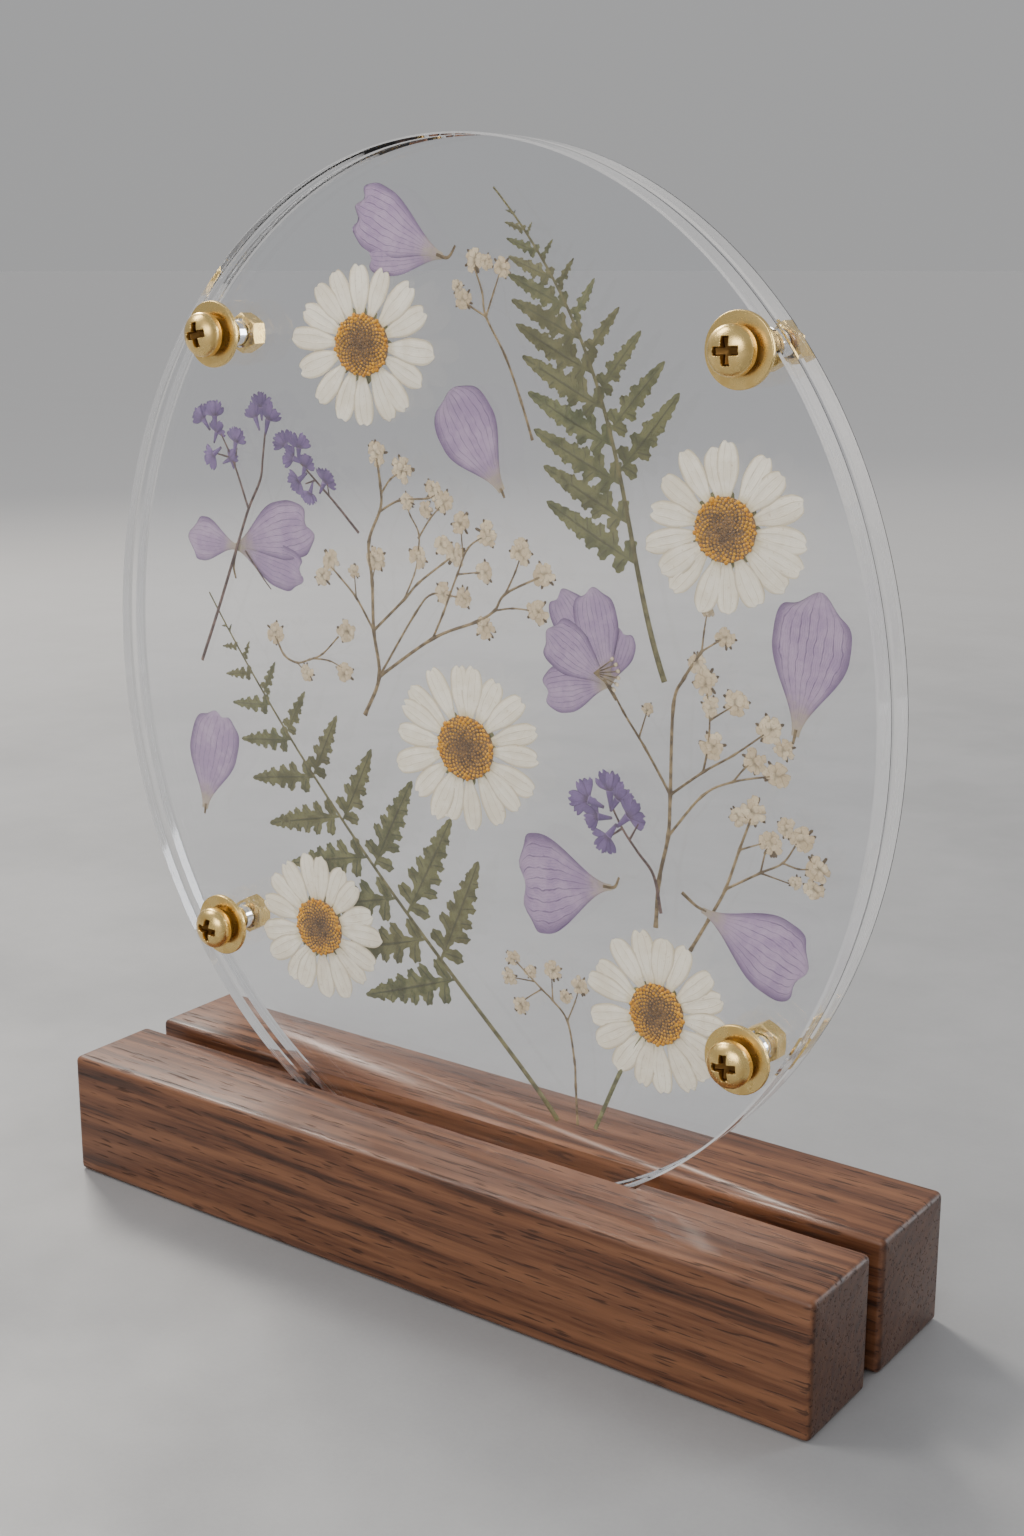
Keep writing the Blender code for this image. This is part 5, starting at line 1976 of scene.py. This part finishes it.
    petals = (
        LoosePetals("petal_top", (
            ((-4.5, 93.2), 158, BladeShape(25, 7.2, 0.10, 0.72, 0.80, 0.035, 3.0, 
                                           bend=-0.04, cup=0.10, wave=0.10)),
            ((-4.5, 93.2), 176, BladeShape(20, 4.6, 0.14, 0.66, 0.70, 0.03, 2.0, 
                                           bend=0.05, cup=0.08, wave=0.08, phase=2.0))),
            ((-6, 93.6), (-3, 93), (-1, 95.4)), 0.72),
        LoosePetals("petal_upper", (
            ((11.6, 45), 127, BladeShape(24.5, 8.0, 0.12, 0.62, 0.42, 0.015, 2.0, 
                                         bend=-0.03, cup=0.10, wave=0.10, phase=1.0)),),
            ((11.2, 45.6), (12.2, 43.6))),
        LoosePetals("petal_left", (
            ((-80, -39.6), 79, BladeShape(25.5, 7.8, 0.12, 0.62, 0.66, 0.02, 3.0, 
                                          bend=-0.06, cup=0.10, wave=0.10, phase=4.0)),),
            ((-79.6, -38.4), (-80.2, -41))),
        LoosePetals("petal_right", (
            ((83, 1.6), 80, BladeShape(28, 8.6, 0.10, 0.64, 0.56, 0.05, 1.6, 
                                       bend=0.04, cup=0.12, wave=0.10, phase=0.4)),),
            ((83.2, 3), (82.6, 0))),
        LoosePetals("petal_centre", (
            ((40.5, -37.6), 188, BladeShape(23.5, 11.4, 0.06, 0.78, 0.78, 0.03, 2.4, 
                                            cup=0.12, wave=0.12, phase=3.0)),),
            ((38.4, -37.7), (41.2, -37.4), (42.4, -35))),
        LoosePetals("petal_lower_right", (
            ((63, -38.2), -20, BladeShape(25.5, 8.6, 0.08, 0.70, 0.74, 0.03, 2.0, 
                                          bend=-0.03, cup=0.12, wave=0.12, phase=5.0)),),
            ((58, -35.4), (61.4, -37.6), (64, -38.4))),
        LoosePetals("petal_pair_left", (
            ((-67, 26.6), 171, BladeShape(14.5, 5.4, 0.14, 0.72, 0.60, 0.08, 1.2, 
                                          bend=0.06, cup=0.08, wave=0.10)),
            ((-67, 26.6), 22, BladeShape(24, 7.0, 0.12, 0.66, 0.66, 0.04, 2.0, 
                                         bend=-0.10, cup=0.10, wave=0.12, phase=2.4)),
            ((-67, 26.6), -14, BladeShape(21, 5.2, 0.14, 0.66, 0.60, 0.04, 2.0, 
                                          cup=0.08, wave=0.10, phase=1.4))),
            ((-67, 26), (-68, 22), (-67.4, 19)), 0.72),
        LoosePetals("larkspur_flower", (
            ((39, 6.6), 148, BladeShape(18, 5.6, 0.16, 0.66, 0.60, 0.03, 2.0,  cup=0.1)),
            ((39, 6.6), 104, BladeShape(20, 5.4, 0.16, 0.64, 0.44, 0.03, 2.0,  cup=0.1,
                                        phase=1.0)),
            ((39, 6.6), 126, BladeShape(22, 5.0, 0.16, 0.66, 0.50, 0.03, 2.0,  cup=0.1,
                                        phase=2.0)),
            ((39, 6.6), 192, BladeShape(16.5, 5.2, 0.16, 0.66, 0.60, 0.04, 2.0,  cup=0.1,
                                        phase=3.0)),
            ((39, 6.6), 74, BladeShape(12, 4.0, 0.2, 0.66, 0.66, 0.04, 2.0,  cup=0.1,
                                       phase=4.0))),
            ((38, 7.6), (41, 3.4)), 0.27, (37, 8.6)),
    )

    def build(self, plane: PlatePlane) -> None:
        """Makes every flower, frond, spray and petal.

        Args:
            plane: The plane that they lie in.
        """
        for group in (self.daisies, self.fronds, self.sprays, self.sprigs, self.petals):
            for specimen in group:
                specimen.build(plane)


# ------------------------------------------------------------------------------ studio

@dataclass(frozen=True)
class SoftLight:
    """A soft square lamp: its name, place, size, power in watts and colour."""

    name: str
    place: tuple[float, float, float]
    size: tuple[float, float]
    power: float
    colour: Colour = (1.0, 1.0, 1.0)

    def build(self, aim: Vector) -> None:
        """Hangs the lamp and turns it to its aim.

        Args:
            aim: The point that it faces.
        """
        data = bpy.data.lights.new(self.name, "AREA")
        data.shape = "RECTANGLE"
        data.size, data.size_y = self.size
        data.energy = self.power
        data.color = self.colour
        lamp = bpy.data.objects.new(self.name, data)
        lamp.location = self.place
        way = aim - Vector(self.place)
        lamp.rotation_euler = way.to_track_quat("-Z", "Y").to_euler()
        bpy.context.scene.collection.objects.link(lamp)


@dataclass
class Studio:
    """A plain pale floor, soft lamps, a pale surround and the camera."""

    floor_radius: float = 40.0
    camera_place: tuple[float, float, float] = (0.2618, -0.3446, 0.2272)
    camera_turn: float = 36.08
    camera_tilt: float = 14.39
    lens: float = 46.51
    surround: Colour = (0.84, 0.85, 0.87)
    low_surround: Colour = (0.72, 0.72, 0.725)
    sky_low: float = 0.0
    sky_high: float = 0.5
    surround_strength: float = 0.55
    lamps: tuple[SoftLight, ...] = (
        SoftLight("key_lamp", (-0.85, 0.45, 0.85), (0.28, 0.28), 11.0, (1.0, 0.95, 0.87)),
        SoftLight("top_lamp", (-0.65, -0.35, 0.95), (0.35, 0.5), 4.5, (1.0, 0.97, 0.93)),
        SoftLight("front_lamp", (0.25, -1.2, 0.6), (0.8, 0.6), 6.5, (1.0, 0.98, 0.96)),
        SoftLight("right_lamp", (0.62, 0.80, 0.35), (0.16, 0.7), 3.0, (0.94, 0.96, 1.0)),
    )

    def floor(self) -> None:
        """Makes the floor: a thin round slab, as rings of radius and height."""
        radius = np.array([0.02, 0.3, 1.0, 5.0, self.floor_radius, self.floor_radius, 0.02])
        height = np.array([0.0, 0.0, 0.0, 0.0, 0.0, -0.02, -0.02])
        turn = np.linspace(0, 2 * math.pi, 144, endpoint=False)[None]
        rings = np.stack([radius[:, None] * np.cos(turn), radius[:, None] * np.sin(turn),
                          height[:, None] * np.ones_like(turn)], axis=-1)
        surface = skin(rings, Ends.FANS)
        mesh = bpy.data.meshes.new("pale_floor")
        mesh.from_pydata(surface.points.tolist(), [],
                         surface.quads.tolist() + surface.triangles.tolist())
        mesh.materials.append(FloorFinish("pale_floor").material())
        floor = bpy.data.objects.new("pale_floor", mesh)
        bpy.context.scene.collection.objects.link(floor)

    def sky(self) -> None:
        """Makes the surround: pale all round, a little darker low down."""
        world = bpy.data.worlds.new("pale_surround")
        world.use_nodes = True
        bench = NodeBench(world.node_tree)
        background = world.node_tree.nodes["Background"]
        height = bench.add("SeparateXYZ", {0: bench.add("TexCoord").outputs["Generated"]})
        bench.feed(background.inputs["Color"], bench.blend(
            bench.rescale(height.outputs[2], self.sky_low, self.sky_high), self.low_surround,
            self.surround))
        background.inputs["Strength"].default_value = self.surround_strength
        bpy.context.scene.world = world

    def camera(self) -> None:
        """Places the camera."""
        data = bpy.data.cameras.new("view")
        data.lens = self.lens
        data.sensor_width = 36.0
        data.clip_start = 0.01
        camera = bpy.data.objects.new("view", data)
        camera.location = self.camera_place
        camera.rotation_euler = (math.radians(90 - self.camera_tilt), 0.0,
                                 math.radians(self.camera_turn))
        bpy.context.scene.collection.objects.link(camera)
        bpy.context.scene.camera = camera

    def build(self) -> None:
        """Makes the whole studio."""
        self.floor()
        self.sky()
        for lamp in self.lamps:
            lamp.build(Vector((0, 0, 0.12)))
        self.camera()


def main() -> None:
    """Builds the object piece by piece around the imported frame, then the studio."""
    logging.basicConfig(level=logging.INFO, format="%(name)s %(message)s")
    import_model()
    front_low, front_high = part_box("plate_front")
    back_low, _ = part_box("plate_back")
    plane = PlatePlane((front_low.z + front_high.z) / 2, front_high.y, back_low.y)
    corners = ("top_left", "top_right", "bottom_left", "bottom_right")
    bolts = []
    for corner in corners:
        low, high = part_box(f"screw_{corner}")
        bolts.append(((low.x + high.x) / 2, (low.z + high.z) / 2))
    WalnutBase().build()
    AcrylicPlates().build(bolts)
    for corner, spin in zip(corners, (0.18, 0.05, -0.12, 0.10)):
        BrassBolt(corner, spin).build()
    Arrangement().build(plane)
    spacer = bpy.data.objects["base_slot_spacer"]
    spacer.data.materials.clear()
    spacer.data.materials.append(WALNUT.material())
    Studio().build()
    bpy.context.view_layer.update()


if __name__ == "__main__":
    main()
